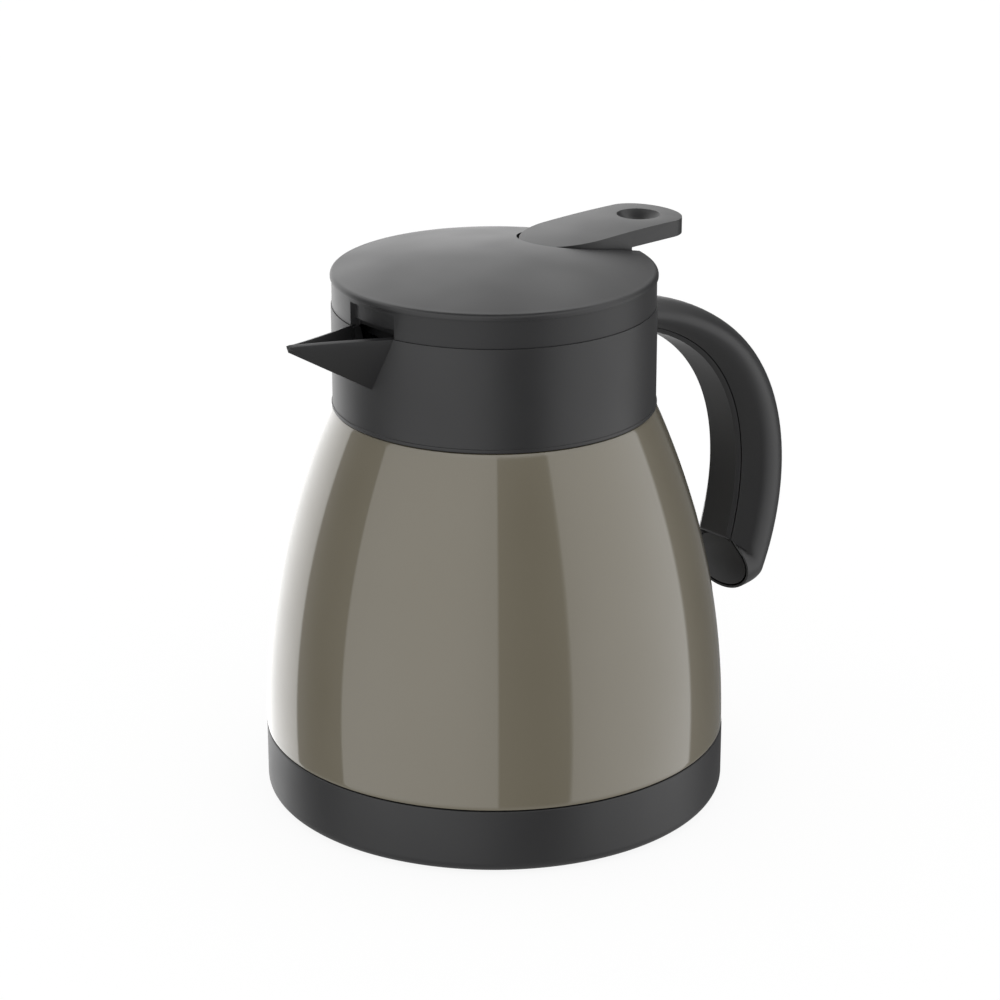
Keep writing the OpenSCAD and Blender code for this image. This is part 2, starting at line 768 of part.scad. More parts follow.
module valve_stem() {
    color([0.75, 0.75, 0.77]) {
        translate([0, 0, plug_h]) cylinder(r = stem_r, h = nut_h - plug_h);
        translate([0, 0, nut_h]) cylinder(r = spigot_r, h = nut_t);
    }
}

module valve_plug() {
    color([0.24, 0.24, 0.25]) rotate_extrude() {
        band(stem_r, plug_r, plug_h, plug_h + plug_t / 2);
        band(stem_r, spring_r + 2 * wire_r, plug_h, plug_h + plug_t);
    }
}

module valve_washer() {
    color([0.88, 0.88, 0.86]) translate([0, 0, washer_h]) cylinder(r = plug_r, h = washer_t);
}

module stem_nut() {
    color([0.72, 0.72, 0.74]) rotate_extrude() band(spigot_r, nut_r, nut_h, nut_h + nut_t);
}

module valve_spring() {
    count = spring_turns * spring_steps;
    color([0.78, 0.78, 0.80]) skin([for (i = [0 : count])
        let (a = 360 * i / spring_steps, z = spring_low + (spring_high - spring_low) * i / count)
        [for (k = [0 : spring_sides - 1])
            let (b = -360 * k / spring_sides, r = spring_r + wire_r * cos(b))
            [r * cos(a), r * sin(a), z + wire_r * sin(b)]]]);
}

foot_pad();
base_cup();
outer_shell();
shell_bottom();
vacuum_seal();
seal_guard();
getter();
inner_vessel();
vessel_bottom();
collar();
collar_gasket();
handle_shell();
handle_strip();
handle_screws();
stopper_seal();
stopper_body();
valve_seat();
stem_guide();
stem_wiper();
lid_cover();
lid_screws();
lever_pin();
lever();
valve_stem();
valve_plug();
valve_washer();
stem_nut();
valve_spring();
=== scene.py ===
import json
import logging
import math
from dataclasses import dataclass, field, replace
from enum import Enum
from typing import Callable, Optional, Sequence

import bmesh
import bpy
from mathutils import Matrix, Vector


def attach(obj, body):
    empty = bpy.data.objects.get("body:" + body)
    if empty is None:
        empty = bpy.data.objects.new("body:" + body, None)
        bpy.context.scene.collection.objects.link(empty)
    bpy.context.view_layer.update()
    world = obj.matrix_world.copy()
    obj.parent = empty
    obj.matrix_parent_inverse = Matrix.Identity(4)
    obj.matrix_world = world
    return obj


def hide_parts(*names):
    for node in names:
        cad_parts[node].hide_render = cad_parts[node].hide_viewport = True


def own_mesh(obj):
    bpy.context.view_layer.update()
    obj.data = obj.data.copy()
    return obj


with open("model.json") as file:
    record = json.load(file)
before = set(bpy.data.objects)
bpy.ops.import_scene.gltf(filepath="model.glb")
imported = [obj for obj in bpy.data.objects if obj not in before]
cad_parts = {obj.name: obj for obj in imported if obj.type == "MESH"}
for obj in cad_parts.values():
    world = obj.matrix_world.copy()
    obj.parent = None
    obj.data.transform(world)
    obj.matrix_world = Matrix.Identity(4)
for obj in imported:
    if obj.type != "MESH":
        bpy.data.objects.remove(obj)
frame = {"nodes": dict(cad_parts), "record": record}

# Looks of a vacuum jug with a screw lid, a beak spout and a free-ended handle.
# All sizes are millimetres and turned to metres where a mesh is made.

LOG = logging.getLogger("vacuum_jug")
MM = 0.001
FULL_TURN = 2 * math.pi
# Two points nearer than this, in metres, are one
TINY = 1e-6
# How far a cutting tool reaches past what it cuts, in millimetres
OVERCUT = 1.0

Piece = bpy.types.Object
Socket = bpy.types.NodeSocket
Point2 = tuple[float, float]
Corner = tuple[float, float, float]
# Takes a lofted piece, the ring's share of the length, its depth and its level
RingFit = Callable[[Piece, float, float, float], None]


class Slot(Enum):
    """The record's material slots."""

    LACQUER = "taupe_lacquer"
    PLASTIC = "black_plastic"
    STEEL = "bare_steel"
    HARDWARE = "hardware_steel"
    CLEAR_SEAL = "silicone_white"
    FOOT_RUBBER = "silicone_grey"
    ACETAL = "guide_plastic"
    GETTER = "getter_alloy"


class Body(Enum):
    """The bodies that pieces ride on."""

    JUG = "jug"
    LID = "lid"
    LEVER = "lever"


# Finishes


def linear(colour: str) -> tuple[float, float, float, float]:
    """Turns an sRGB colour, as #rrggbb, to linear red, green, blue and alpha."""
    parts = [int(colour[i:i + 2], 16) / 255 for i in (1, 3, 5)]
    red, green, blue = [c / 12.92 if c <= 0.04045 else ((c + 0.055) / 1.055) ** 2.4 for c in parts]
    return red, green, blue, 1.0


def add_node(tree: bpy.types.NodeTree, kind: str, values: Optional[dict] = None,
             links: Optional[dict] = None, **settings) -> bpy.types.Node:
    """Adds a node with its settings, socket values and links.

    Args:
        tree: the tree that gets the node.
        kind: Blender's name of the node type.
        values: what its input sockets are set to, by name or number.
        links: which output feeds each input, by name or number.
        settings: properties of the node itself.

    Returns:
        The new node.
    """
    node = tree.nodes.new(kind)
    for name, value in settings.items():
        setattr(node, name, value)
    for name, value in (values or {}).items():
        node.inputs[name].default_value = value
    for name, socket in (links or {}).items():
        tree.links.new(socket, node.inputs[name])
    return node


@dataclass(frozen=True)
class Finish:
    """A finish: what the surface is made of and how it was made."""

    name: str
    colour: str
    fleck: str
    roughness: float
    grain_mm: float
    grain_lift_mm: float
    roughness_spread: float = 0.04
    metallic: float = 0.0
    ior: float = 1.5
    coat: float = 0.0
    coat_roughness: float = 0.03
    subsurface: float = 0.0
    stretch: tuple[float, float, float] = (1.0, 1.0, 1.0)
    cloud_mm: float = 30.0

    def make(self) -> bpy.types.Material:
        """Builds the node material.

        Returns:
            The material, with its grain in Object coordinates.
        """
        material = bpy.data.materials.new(self.name)
        material.use_nodes = True
        tree = material.node_tree
        tree.nodes.clear()
        place = add_node(tree, "ShaderNodeTexCoord")
        scaled = add_node(tree, "ShaderNodeMapping", {"Scale": self.stretch},
                          {"Vector": place.outputs["Object"]})
        grain = add_node(tree, "ShaderNodeTexNoise",
                         {"Scale": 1 / (self.grain_mm * MM), "Detail": 3.0, "Roughness": 0.6},
                         {"Vector": scaled.outputs["Vector"]})
        cloud = add_node(tree, "ShaderNodeTexNoise",
                         {"Scale": 1 / (self.cloud_mm * MM), "Detail": 2.0},
                         {"Vector": place.outputs["Object"]})
        tint = add_node(tree, "ShaderNodeMix",
                        {6: linear(self.colour), 7: linear(self.fleck)},
                        {0: grain.outputs["Fac"]}, data_type="RGBA")
        rough = add_node(tree, "ShaderNodeMapRange",
                         {"From Min": 0.3, "From Max": 0.7,
                          "To Min": self.roughness - self.roughness_spread,
                          "To Max": self.roughness + self.roughness_spread},
                         {"Value": cloud.outputs["Fac"]})
        bump = add_node(tree, "ShaderNodeBump",
                        {"Strength": 1.0, "Distance": self.grain_lift_mm * MM},
                        {"Height": grain.outputs["Fac"]})
        shader = add_node(tree, "ShaderNodeBsdfPrincipled",
                          {"Metallic": self.metallic, "IOR": self.ior,
                           "Coat Weight": self.coat, "Coat Roughness": self.coat_roughness,
                           "Subsurface Weight": self.subsurface,
                           "Subsurface Scale": MM},
                          {"Base Color": tint.outputs[2], "Roughness": rough.outputs["Result"],
                           "Normal": bump.outputs["Normal"]})
        add_node(tree, "ShaderNodeOutputMaterial", links={"Surface": shader.outputs["BSDF"]})
        return material


FINISHES: dict[Slot, Finish] = {
    # Taupe metallic lacquer baked on polished steel: an even warm grey with fine flakes under a
    # clear coat, so the studio shows as crisp upright bands.
    Slot.LACQUER: Finish("metallic_lacquer_on_steel", "#615a4b", "#656050", 0.42, 0.25, 0.0,
                         coat=1.0, coat_roughness=0.035),
    # Moulded polypropylene with a fine spark-eroded satin texture: near black, reflections
    # spread to soft bands.
    Slot.PLASTIC: Finish("moulded_polypropylene", "#1c1c1d", "#1f1f20", 0.45, 0.3, 0.004,
                         ior=1.49),
    # Drawn stainless steel, turned inside: pale metal with fine rings round the axis.
    Slot.STEEL: Finish("drawn_stainless_steel", "#c4c2be", "#d2d0cc", 0.26, 0.4, 0.004,
                       metallic=1.0, stretch=(0.02, 0.02, 1.0)),
    # Bright rolled stainless wire and pins: a sharper shine than the drawn sheet.
    Slot.HARDWARE: Finish("bright_stainless_steel", "#cfcdca", "#d8d6d3", 0.14, 0.3, 0.001,
                          metallic=1.0, roughness_spread=0.02),
    # Moulded food silicone: milky, soft, lets some light in.
    Slot.CLEAR_SEAL: Finish("milky_silicone", "#dcdad2", "#e4e2db", 0.5, 0.5, 0.004,
                            ior=1.41, subsurface=0.4),
    # Matt dark silicone of the foot: dusty, no highlight.
    Slot.FOOT_RUBBER: Finish("matt_silicone_foot", "#2e2e30", "#38383a", 0.8, 0.5, 0.01,
                             ior=1.41),
    # Natural acetal: waxy white with a soft shine.
    Slot.ACETAL: Finish("natural_acetal", "#dedcd4", "#e3e1da", 0.34, 0.4, 0.002, ior=1.48,
                        subsurface=0.15),
    # Sintered getter: dull grey with visible grit.
    Slot.GETTER: Finish("sintered_getter", "#5e5e61", "#737376", 0.7, 0.3, 0.03, metallic=1.0),
}


class Wardrobe:
    """The materials, made once each."""

    def __init__(self) -> None:
        """Makes every finish."""
        self.materials = {slot: finish.make() for slot, finish in FINISHES.items()}

    def dress(self, piece: Piece, slot: Slot) -> None:
        """Gives a piece or CAD node the finish of its slot."""
        piece.data.materials.clear()
        piece.data.materials.append(self.materials[slot])

    def dress_nodes(self, record: dict) -> None:
        """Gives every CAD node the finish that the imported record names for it."""
        for row in record["subparts"]:
            node = frame["nodes"].get(row["node"])
            if node is not None:
                self.dress(node, Slot(row["material_slot"]))


# Modelling tools


def clear_selection() -> None:
    """Leaves edit mode and deselects everything."""
    if bpy.context.object is not None and bpy.context.object.mode != "OBJECT":
        bpy.ops.object.mode_set(mode="OBJECT")
    bpy.ops.object.select_all(action="DESELECT")


def pick(piece: Piece) -> None:
    """Makes one piece the selected and active object."""
    clear_selection()
    piece.select_set(True)
    bpy.context.view_layer.objects.active = piece


def select_all() -> None:
    """Selects the whole mesh, in edit mode."""
    bpy.ops.mesh.select_all(action="SELECT")


def edit(piece: Piece) -> None:
    """Opens a piece in edit mode with all of it selected."""
    pick(piece)
    bpy.ops.object.mode_set(mode="EDIT")
    select_all()


def select_points(piece: Piece, test: Callable[[Vector], bool]) -> None:
    """Selects the vertices that pass a test, in edit mode.

    Args:
        piece: the piece in edit mode.
        test: says of a place whether it is wanted.
    """
    mesh = bmesh.from_edit_mesh(piece.data)
    mesh.select_mode = {"VERT"}
    for part in (mesh.faces, mesh.edges, mesh.verts):
        for item in part:
            item.select = False
    for vertex in mesh.verts:
        vertex.select = test(vertex.co)
    mesh.select_flush_mode()
    bmesh.update_edit_mesh(piece.data)


def select_faces(piece: Piece, test: Callable[[Vector, Vector], bool]) -> None:
    """Selects the faces whose middle and normal pass a test, in edit mode.

    Args:
        piece: the piece in edit mode.
        test: says of a middle and a normal whether the face is wanted.
    """
    bpy.ops.mesh.select_mode(type="FACE")
    mesh = bmesh.from_edit_mesh(piece.data)
    for face in mesh.faces:
        face.select = False
    for face in mesh.faces:
        if test(face.calc_center_median(), face.normal):
            face.select = True
    mesh.select_flush_mode()
    bmesh.update_edit_mesh(piece.data)


def turn(angle: float, axis: str, centre: Sequence[float]) -> None:
    """Turns what is selected by degrees, right-handed about an axis through a centre."""
    # With no window the operator turns the other way
    bpy.ops.transform.rotate(value=-math.radians(angle), orient_axis=axis,
                             center_override=[c * MM for c in centre])


def move(x: float, y: float, z: float) -> None:
    """Moves what is selected, in millimetres."""
    bpy.ops.transform.translate(value=(x * MM, y * MM, z * MM))


def scale(x: float, y: float, z: float, centre: Sequence[float]) -> None:
    """Scales what is selected about a centre in millimetres."""
    bpy.ops.transform.resize(value=(x, y, z), center_override=[c * MM for c in centre])


def extrude_edges(x: float, y: float, z: float) -> None:
    """Extrudes the selected edges, in millimetres."""
    bpy.ops.mesh.extrude_edges_move(TRANSFORM_OT_translate={"value": (x * MM, y * MM, z * MM)})


def extrude_faces(x: float, y: float, z: float) -> None:
    """Extrudes the selected faces, in millimetres."""
    bpy.ops.mesh.extrude_region_move(TRANSFORM_OT_translate={"value": (x * MM, y * MM, z * MM)})


def finish_mesh(piece: Piece, angle: Optional[float] = 35) -> None:
    """Merges doubles, points faces outwards and shades.

    Args:
        piece: the piece.
        angle: the angle in degrees past which an edge stays sharp, or None for no shading.
    """
    edit(piece)
    bpy.ops.mesh.remove_doubles(threshold=TINY)
    bpy.ops.mesh.normals_make_consistent(inside=False)
    bpy.ops.object.mode_set(mode="OBJECT")
    if angle is not None:
        bpy.ops.object.shade_smooth_by_angle(angle=math.radians(angle))


def name_piece(piece: Piece, name: str) -> Piece:
    """Names a piece and its mesh."""
    piece.name = name
    piece.data.name = name
    return piece


def rounded(corners: Sequence[Corner], steps: int = 6, closed: bool = True) -> list[Point2]:
    """Rounds the corners of an outline.

    Args:
        corners: x, z and the radius of each corner, 0 for a sharp one.
        steps: faces in each round.
        closed: whether the last corner joins the first.

    Returns:
        The outline's points.
    """
    points: list[Point2] = []
    count = len(corners)
    for i, (x, z, radius) in enumerate(corners):
        here = Vector((x, z))
        if radius == 0 or (not closed and i in (0, count - 1)):
            points.append((x, z))
            continue
        back = (Vector(corners[i - 1][:2]) - here).normalized()
        ahead = (Vector(corners[(i + 1) % count][:2]) - here).normalized()
        half = math.acos(max(-1.0, min(1.0, back.dot(ahead)))) / 2
        centre = here + (back + ahead).normalized() * (radius / math.sin(half))
        first = here + back * (radius / math.tan(half)) - centre
        last = here + ahead * (radius / math.tan(half)) - centre
        start = math.atan2(first.y, first.x)
        sweep = (math.atan2(last.y, last.x) - start + math.pi) % FULL_TURN - math.pi
        for k in range(steps + 1):
            a = start + sweep * k / steps
            points.append((centre.x + radius * math.cos(a), centre.y + radius * math.sin(a)))
    return points


def draw_line(name: str, points: Sequence[Sequence[float]], closed: bool) -> Piece:
    """Draws a line of vertices, extruded one from the other.

    Args:
        name: the piece's name.
        points: places in millimetres, as x and z or as x, y and z.
        closed: whether the last joins the first.

    Returns:
        The piece, in edit mode.
    """
    places = [Vector((p[0], 0, p[1]) if len(p) == 2 else p) * MM for p in points]
    clear_selection()
    bpy.ops.mesh.primitive_plane_add(size=MM)
    piece = name_piece(bpy.context.object, name)
    bpy.ops.object.mode_set(mode="EDIT")
    bpy.ops.mesh.select_mode(type="VERT")
    select_all()
    bpy.ops.mesh.merge(type="CENTER")
    bpy.ops.transform.translate(value=places[0])
    for before, after in zip(places, places[1:] + places[:1] if closed else places[1:]):
        bpy.ops.mesh.extrude_vertices_move(TRANSFORM_OT_translate={"value": after - before})
    if closed:
        select_all()
        bpy.ops.mesh.remove_doubles(threshold=TINY)
    return piece


def block(name: str, outline: Sequence[Corner], x: float, y: float, z: float) -> Piece:
    """Fills an outline and extrudes it to a closed block.

    Args:
        name: the piece's name.
        outline: the corners of its first face, in millimetres.
        x: how far it goes along X, in millimetres.
        y: how far it goes along Y.
        z: how far it goes along Z.

    Returns:
        The block.
    """
    piece = draw_line(name, outline, closed=True)
    select_all()
    bpy.ops.mesh.edge_face_add()
    extrude_faces(x, y, z)
    finish_mesh(piece, None)
    return piece


def arc_block(name: str, section: Sequence[Point2], span: float, steps: int,
              middle: float = 0.0) -> Piece:
    """Turns a filled section through an arc about the jug's axis.

    Args:
        name: the piece's name.
        section: radius and height of its corners.
        span: the arc's degrees.
        steps: faces along the arc.
        middle: where the arc's middle lies, in degrees.

    Returns:
        The closed piece, in edit mode.
    """
    piece = draw_line(name, section, closed=True)
    select_all()
    bpy.ops.mesh.edge_face_add()
    bpy.ops.mesh.spin(steps=steps, angle=math.radians(span), center=(0, 0, 0), axis=(0, 0, 1))
    finish_mesh(piece, None)
    low = min(v.co.y for v in piece.data.vertices)
    edit(piece)
    # The spin starts at the angle 0, whichever way it goes
    turn(middle + (span / 2 if low < -TINY else -span / 2), "Z", (0, 0, 0))
    return piece


def lathe(name: str, outline: Sequence[Point2], closed: bool = True, steps: int = 256,
          angle: Optional[float] = 35) -> Piece:
    """Turns an outline about the jug's axis.

    Args:
        name: the piece's name.
        outline: radius and height of its points.
        closed: whether the outline is a ring, or starts and ends on the axis.
        steps: faces round the axis.
        angle: shading angle in degrees, or None.

    Returns:
        The turned piece.
    """
    piece = draw_line(name, outline, closed)
    select_all()
    bpy.ops.mesh.spin(steps=steps, angle=FULL_TURN, center=(0, 0, 0), axis=(0, 0, 1),
                      use_auto_merge=True)
    finish_mesh(piece, angle)
    return piece


def apply(piece: Piece, kind: str, **settings) -> None:
    """Adds a modifier of a kind with its settings, and applies it."""
    pick(piece)
    modifier = piece.modifiers.new(kind.title(), kind)
    for name, value in settings.items():
        setattr(modifier, name, value)
    bpy.ops.object.modifier_apply(modifier=modifier.name)


def combine(piece: Piece, tool: Piece, operation: str) -> None:
    """Joins, cuts or intersects a piece with a tool, and deletes the tool."""
    apply(piece, "BOOLEAN", object=tool, operation=operation, solver="EXACT", use_self=False)
    bpy.data.objects.remove(tool, do_unlink=True)


def thicken(piece: Piece, wall: float, way: Sequence[float], **settings) -> None:
    """Gives a skin its wall, on the inner side.

    Args:
        piece: the skin.
        wall: the wall in millimetres.
        way: a direction in which the skin's furthest face looks outwards.
        settings: further properties of the modifier.
    """
    # The order of the faces changes from run to run, so the face is found by its place
    furthest = max(piece.data.polygons, key=lambda face: face.center.dot(Vector(way)))
    outwards = furthest.normal.dot(Vector(way)) > 0
    apply(piece, "SOLIDIFY", thickness=wall * MM, offset=-1 if outwards else 1,
          use_even_offset=True, use_quality_normals=True, **settings)
    finish_mesh(piece, None)


def cut(piece: Piece, *tools: Piece) -> None:
    """Cuts tools out of a piece, one after the other."""
    for tool in tools:
        combine(piece, tool, "DIFFERENCE")


def ease_edges(piece: Piece, width: float, segments: int = 3, angle: float = 50) -> None:
    """Rounds a piece's edges sharper than an angle in degrees, by a width in millimetres."""
    apply(piece, "BEVEL", width=width * MM, segments=segments, limit_method="ANGLE",
          angle_limit=math.radians(angle), miter_outer="MITER_ARC")


def box(name: str, low: Sequence[float], high: Sequence[float]) -> Piece:
    """Makes a cutting block between two corners in millimetres."""
    clear_selection()
    bpy.ops.mesh.primitive_cube_add(
        size=1, location=[(a + b) / 2 * MM for a, b in zip(low, high)],
        scale=[(b - a) * MM for a, b in zip(low, high)])
    piece = name_piece(bpy.context.object, name)
    bpy.ops.object.transform_apply()
    return piece


def rod(name: str, radius: float, centre: Sequence[float], length: float, axis: str,
        sides: int = 48) -> Piece:
    """Makes a round cutting bar along the axis X, Y or Z.

    Args:
        name: the piece's name.
        radius: its radius in millimetres.
        centre: its middle in millimetres.
        length: its length in millimetres.
        axis: the axis that it follows.
        sides: faces round it.

    Returns:
        The bar, its place in its mesh.
    """
    tilt = {"X": (0, math.pi / 2, 0), "Y": (math.pi / 2, 0, 0), "Z": (0, 0, 0)}[axis]
    clear_selection()
    bpy.ops.mesh.primitive_cylinder_add(vertices=sides, radius=radius * MM, depth=length * MM,
                                        location=[c * MM for c in centre], rotation=tilt)
    piece = name_piece(bpy.context.object, name)
    bpy.ops.object.transform_apply()
    return piece


def join(pieces: Sequence[Piece]) -> Piece:
    """Joins pieces to the first one and returns it."""
    clear_selection()
    for piece in pieces:
        piece.select_set(True)
    bpy.context.view_layer.objects.active = pieces[0]
    if len(pieces) > 1:
        bpy.ops.object.join()
    return pieces[0]


def repeat(piece: Piece, angles: Sequence[float]) -> list[Piece]:
    """Copies a piece round the jug's axis, each copy with its own mesh.

    Args:
        piece: the piece, which lies at the angle 0.
        angles: degrees of each copy; the piece itself goes to the first.

    Returns:
        All the pieces.
    """
    pieces = [piece]
    for _ in angles[1:]:
        pick(piece)
        bpy.ops.object.duplicate()
        pieces.append(bpy.context.object)
    for copy, angle in zip(pieces, angles):
        edit(copy)
        turn(angle, "Z", (0, 0, 0))
    clear_selection()
    return pieces


# Sub-assemblies


@dataclass
class Assembly:
    """What every sub-assembly shares: the wardrobe and the way a piece is handed over."""

    wardrobe: Wardrobe

    def hand_over(self, piece: Piece, body: Body, slot: Slot,
                  nodes: Sequence[str]) -> None:
        """Dresses a finished piece, puts it on its body and hides what it stands for.

        Args:
            piece: the finished piece.
            body: the body that carries it.
            slot: its finish.
            nodes: the CAD nodes that it replaces.
        """
        clear_selection()
        self.wardrobe.dress(piece, slot)
        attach(piece, body.value)
        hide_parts(*nodes)
        LOG.info("%s: %d faces on %s", piece.name, len(piece.data.polygons), body.value)


@dataclass
class Vessel(Assembly):
    """The lacquered steel bell, the base cup and the foot pad."""

    foot_r: float = 64.9
    foot_h: float = 19.3
    top_r: float = 44.6
    top_h: float = 113.2
    sheet: float = 0.8
    joggle_r: float = 62.1
    joggle_h: float = 6.6
    neck_r: float = 39.5
    mouth_r: float = 36.8
    mouth_h: float = 122.0
    edge: float = 0.3
    arc_steps: int = 72
    cup_r: float = 65.0
    cup_h: float = 19.0
    cup_wall: float = 2.8
    cup_lift: float = 0.6
    cup_floor_h: float = 3.0
    cup_corner: float = 3.2
    cup_inner_corner: float = 1.0
    cup_edge: float = 0.4
    rib_r: float = 52.0
    rib_t: float = 1.6
    rib_h: float = 8.6
    pad_r: float = 48.0
    pad_t: float = 1.8
    pad_fit: float = 0.1
    groove_rs: Sequence[float] = (10.0, 17.0, 24.0, 31.0, 38.0)
    groove_w: float = 2.0
    groove_d: float = 0.5
    groove_edge: float = 0.15
    pad_edge: float = 0.5
    pad_top_edge: float = 0.3

    def bell_r(self, inset: float, z: float) -> float:
        """Gives the bell's radius at a height, set in from its outer face."""
        height, lean = self.top_h - self.foot_h, self.foot_r - self.top_r
        arc = (height ** 2 + lean ** 2) / (2 * lean)
        return self.foot_r - arc + math.sqrt((arc - inset) ** 2 - (z - self.foot_h) ** 2)

    def make_bell(self) -> None:
        """Turns the bell with its joggle, shoulder and neck."""
        low, high = self.foot_h + self.sheet, self.top_h - self.sheet
        outer = [(self.bell_r(0, z), z, 0.0) for z in (
            self.foot_h + (self.top_h - self.foot_h) * k / self.arc_steps
            for k in range(1, self.arc_steps))]
        inner = [(self.bell_r(self.sheet, z), z, 0.0) for z in (
            high - (high - low) * k / self.arc_steps for k in range(1, self.arc_steps))]
        s = self.sheet
        outline = (
            [(self.foot_r, self.foot_h, self.edge)] + outer
            + [(self.top_r, self.top_h, self.edge),
               (self.neck_r, self.top_h, self.edge), (self.neck_r, self.mouth_h, self.edge),
               (self.mouth_r, self.mouth_h, 0), (self.mouth_r, self.mouth_h - s, 0),
               (self.neck_r - s, self.mouth_h - s, 0), (self.neck_r - s, high, 0),
               (self.bell_r(s, high), high, 0)]
            + inner
            + [(self.bell_r(s, low), low, 0), (self.joggle_r - s, low, 0),
               (self.joggle_r - s, self.joggle_h, 0), (self.joggle_r, self.joggle_h, 0),
               (self.joggle_r, self.foot_h, 0)])
        bell = lathe("lacquered_bell", rounded(outline, steps=3))
        self.hand_over(bell, Body.JUG, Slot.LACQUER, ["outer_shell"])

    def make_cup(self) -> None:
        """Turns the base cup with its rounded corner and inner rib."""
        seat_r, wall_r = self.pad_r + self.pad_fit, self.cup_r - self.cup_wall
        rib_in_r, e = self.rib_r - self.rib_t, self.cup_edge
        outline = [
            (0, self.pad_t, 0), (seat_r, self.pad_t, 0), (seat_r, self.cup_lift, e),
            (self.cup_r, self.cup_lift, self.cup_corner), (self.cup_r, self.cup_h, e),
            (wall_r, self.cup_h, e), (wall_r, self.cup_floor_h, self.cup_inner_corner),
            (self.rib_r, self.cup_floor_h, 0), (self.rib_r, self.rib_h, e),
            (rib_in_r, self.rib_h, e), (rib_in_r, self.cup_floor_h, 0), (0, self.cup_floor_h, 0)]
        cup = lathe("base_cup_moulding", rounded(outline, steps=8, closed=False), closed=False)
        self.hand_over(cup, Body.JUG, Slot.PLASTIC, ["base_cup"])

    def make_pad(self) -> None:
        """Turns the foot pad with its grip grooves."""
        outline: list[Corner] = [(0, 0, 0)]
        e = self.groove_edge
        for r in self.groove_rs:
            outline += [(r, 0, e), (r, self.groove_d, e),
                        (r + self.groove_w, self.groove_d, e), (r + self.groove_w, 0, e)]
        outline += [(self.pad_r, 0, self.pad_edge), (self.pad_r, self.pad_t, self.pad_top_edge),
                    (0, self.pad_t, 0)]
        pad = lathe("grooved_foot_pad", rounded(outline, steps=3, closed=False), closed=False,
                    steps=160)
        self.hand_over(pad, Body.JUG, Slot.FOOT_RUBBER, ["foot_pad"])

    def build(self) -> None:
        """Builds the whole sub-assembly."""
        self.make_bell()
        self.make_cup()
        self.make_pad()


@dataclass
class Thread:
    """One start of the four-start thread: an arc of a lug, tilted along the helix."""

    root_r: float
    tip_r: float
    height: float
    root_h: float = 2.4
    tip_h: float = 1.6
    span: float = 50.0
    tilt: float = 5.595
    steps: int = 24
    starts: Sequence[float] = (45.0, 135.0, 225.0, 315.0)

    def make(self, name: str) -> Piece:
        """Builds all the starts as one tool of this name."""
        middle = self.height
        lug = arc_block(name, [(self.root_r, middle - self.root_h / 2),
                               (self.root_r, middle + self.root_h / 2),
                               (self.tip_r, middle + self.tip_h / 2),
                               (self.tip_r, middle - self.tip_h / 2)], self.span, self.steps)
        turn(self.tilt, "X", (0, 0, middle))
        bpy.ops.object.mode_set(mode="OBJECT")
        return join(repeat(lug, self.starts))


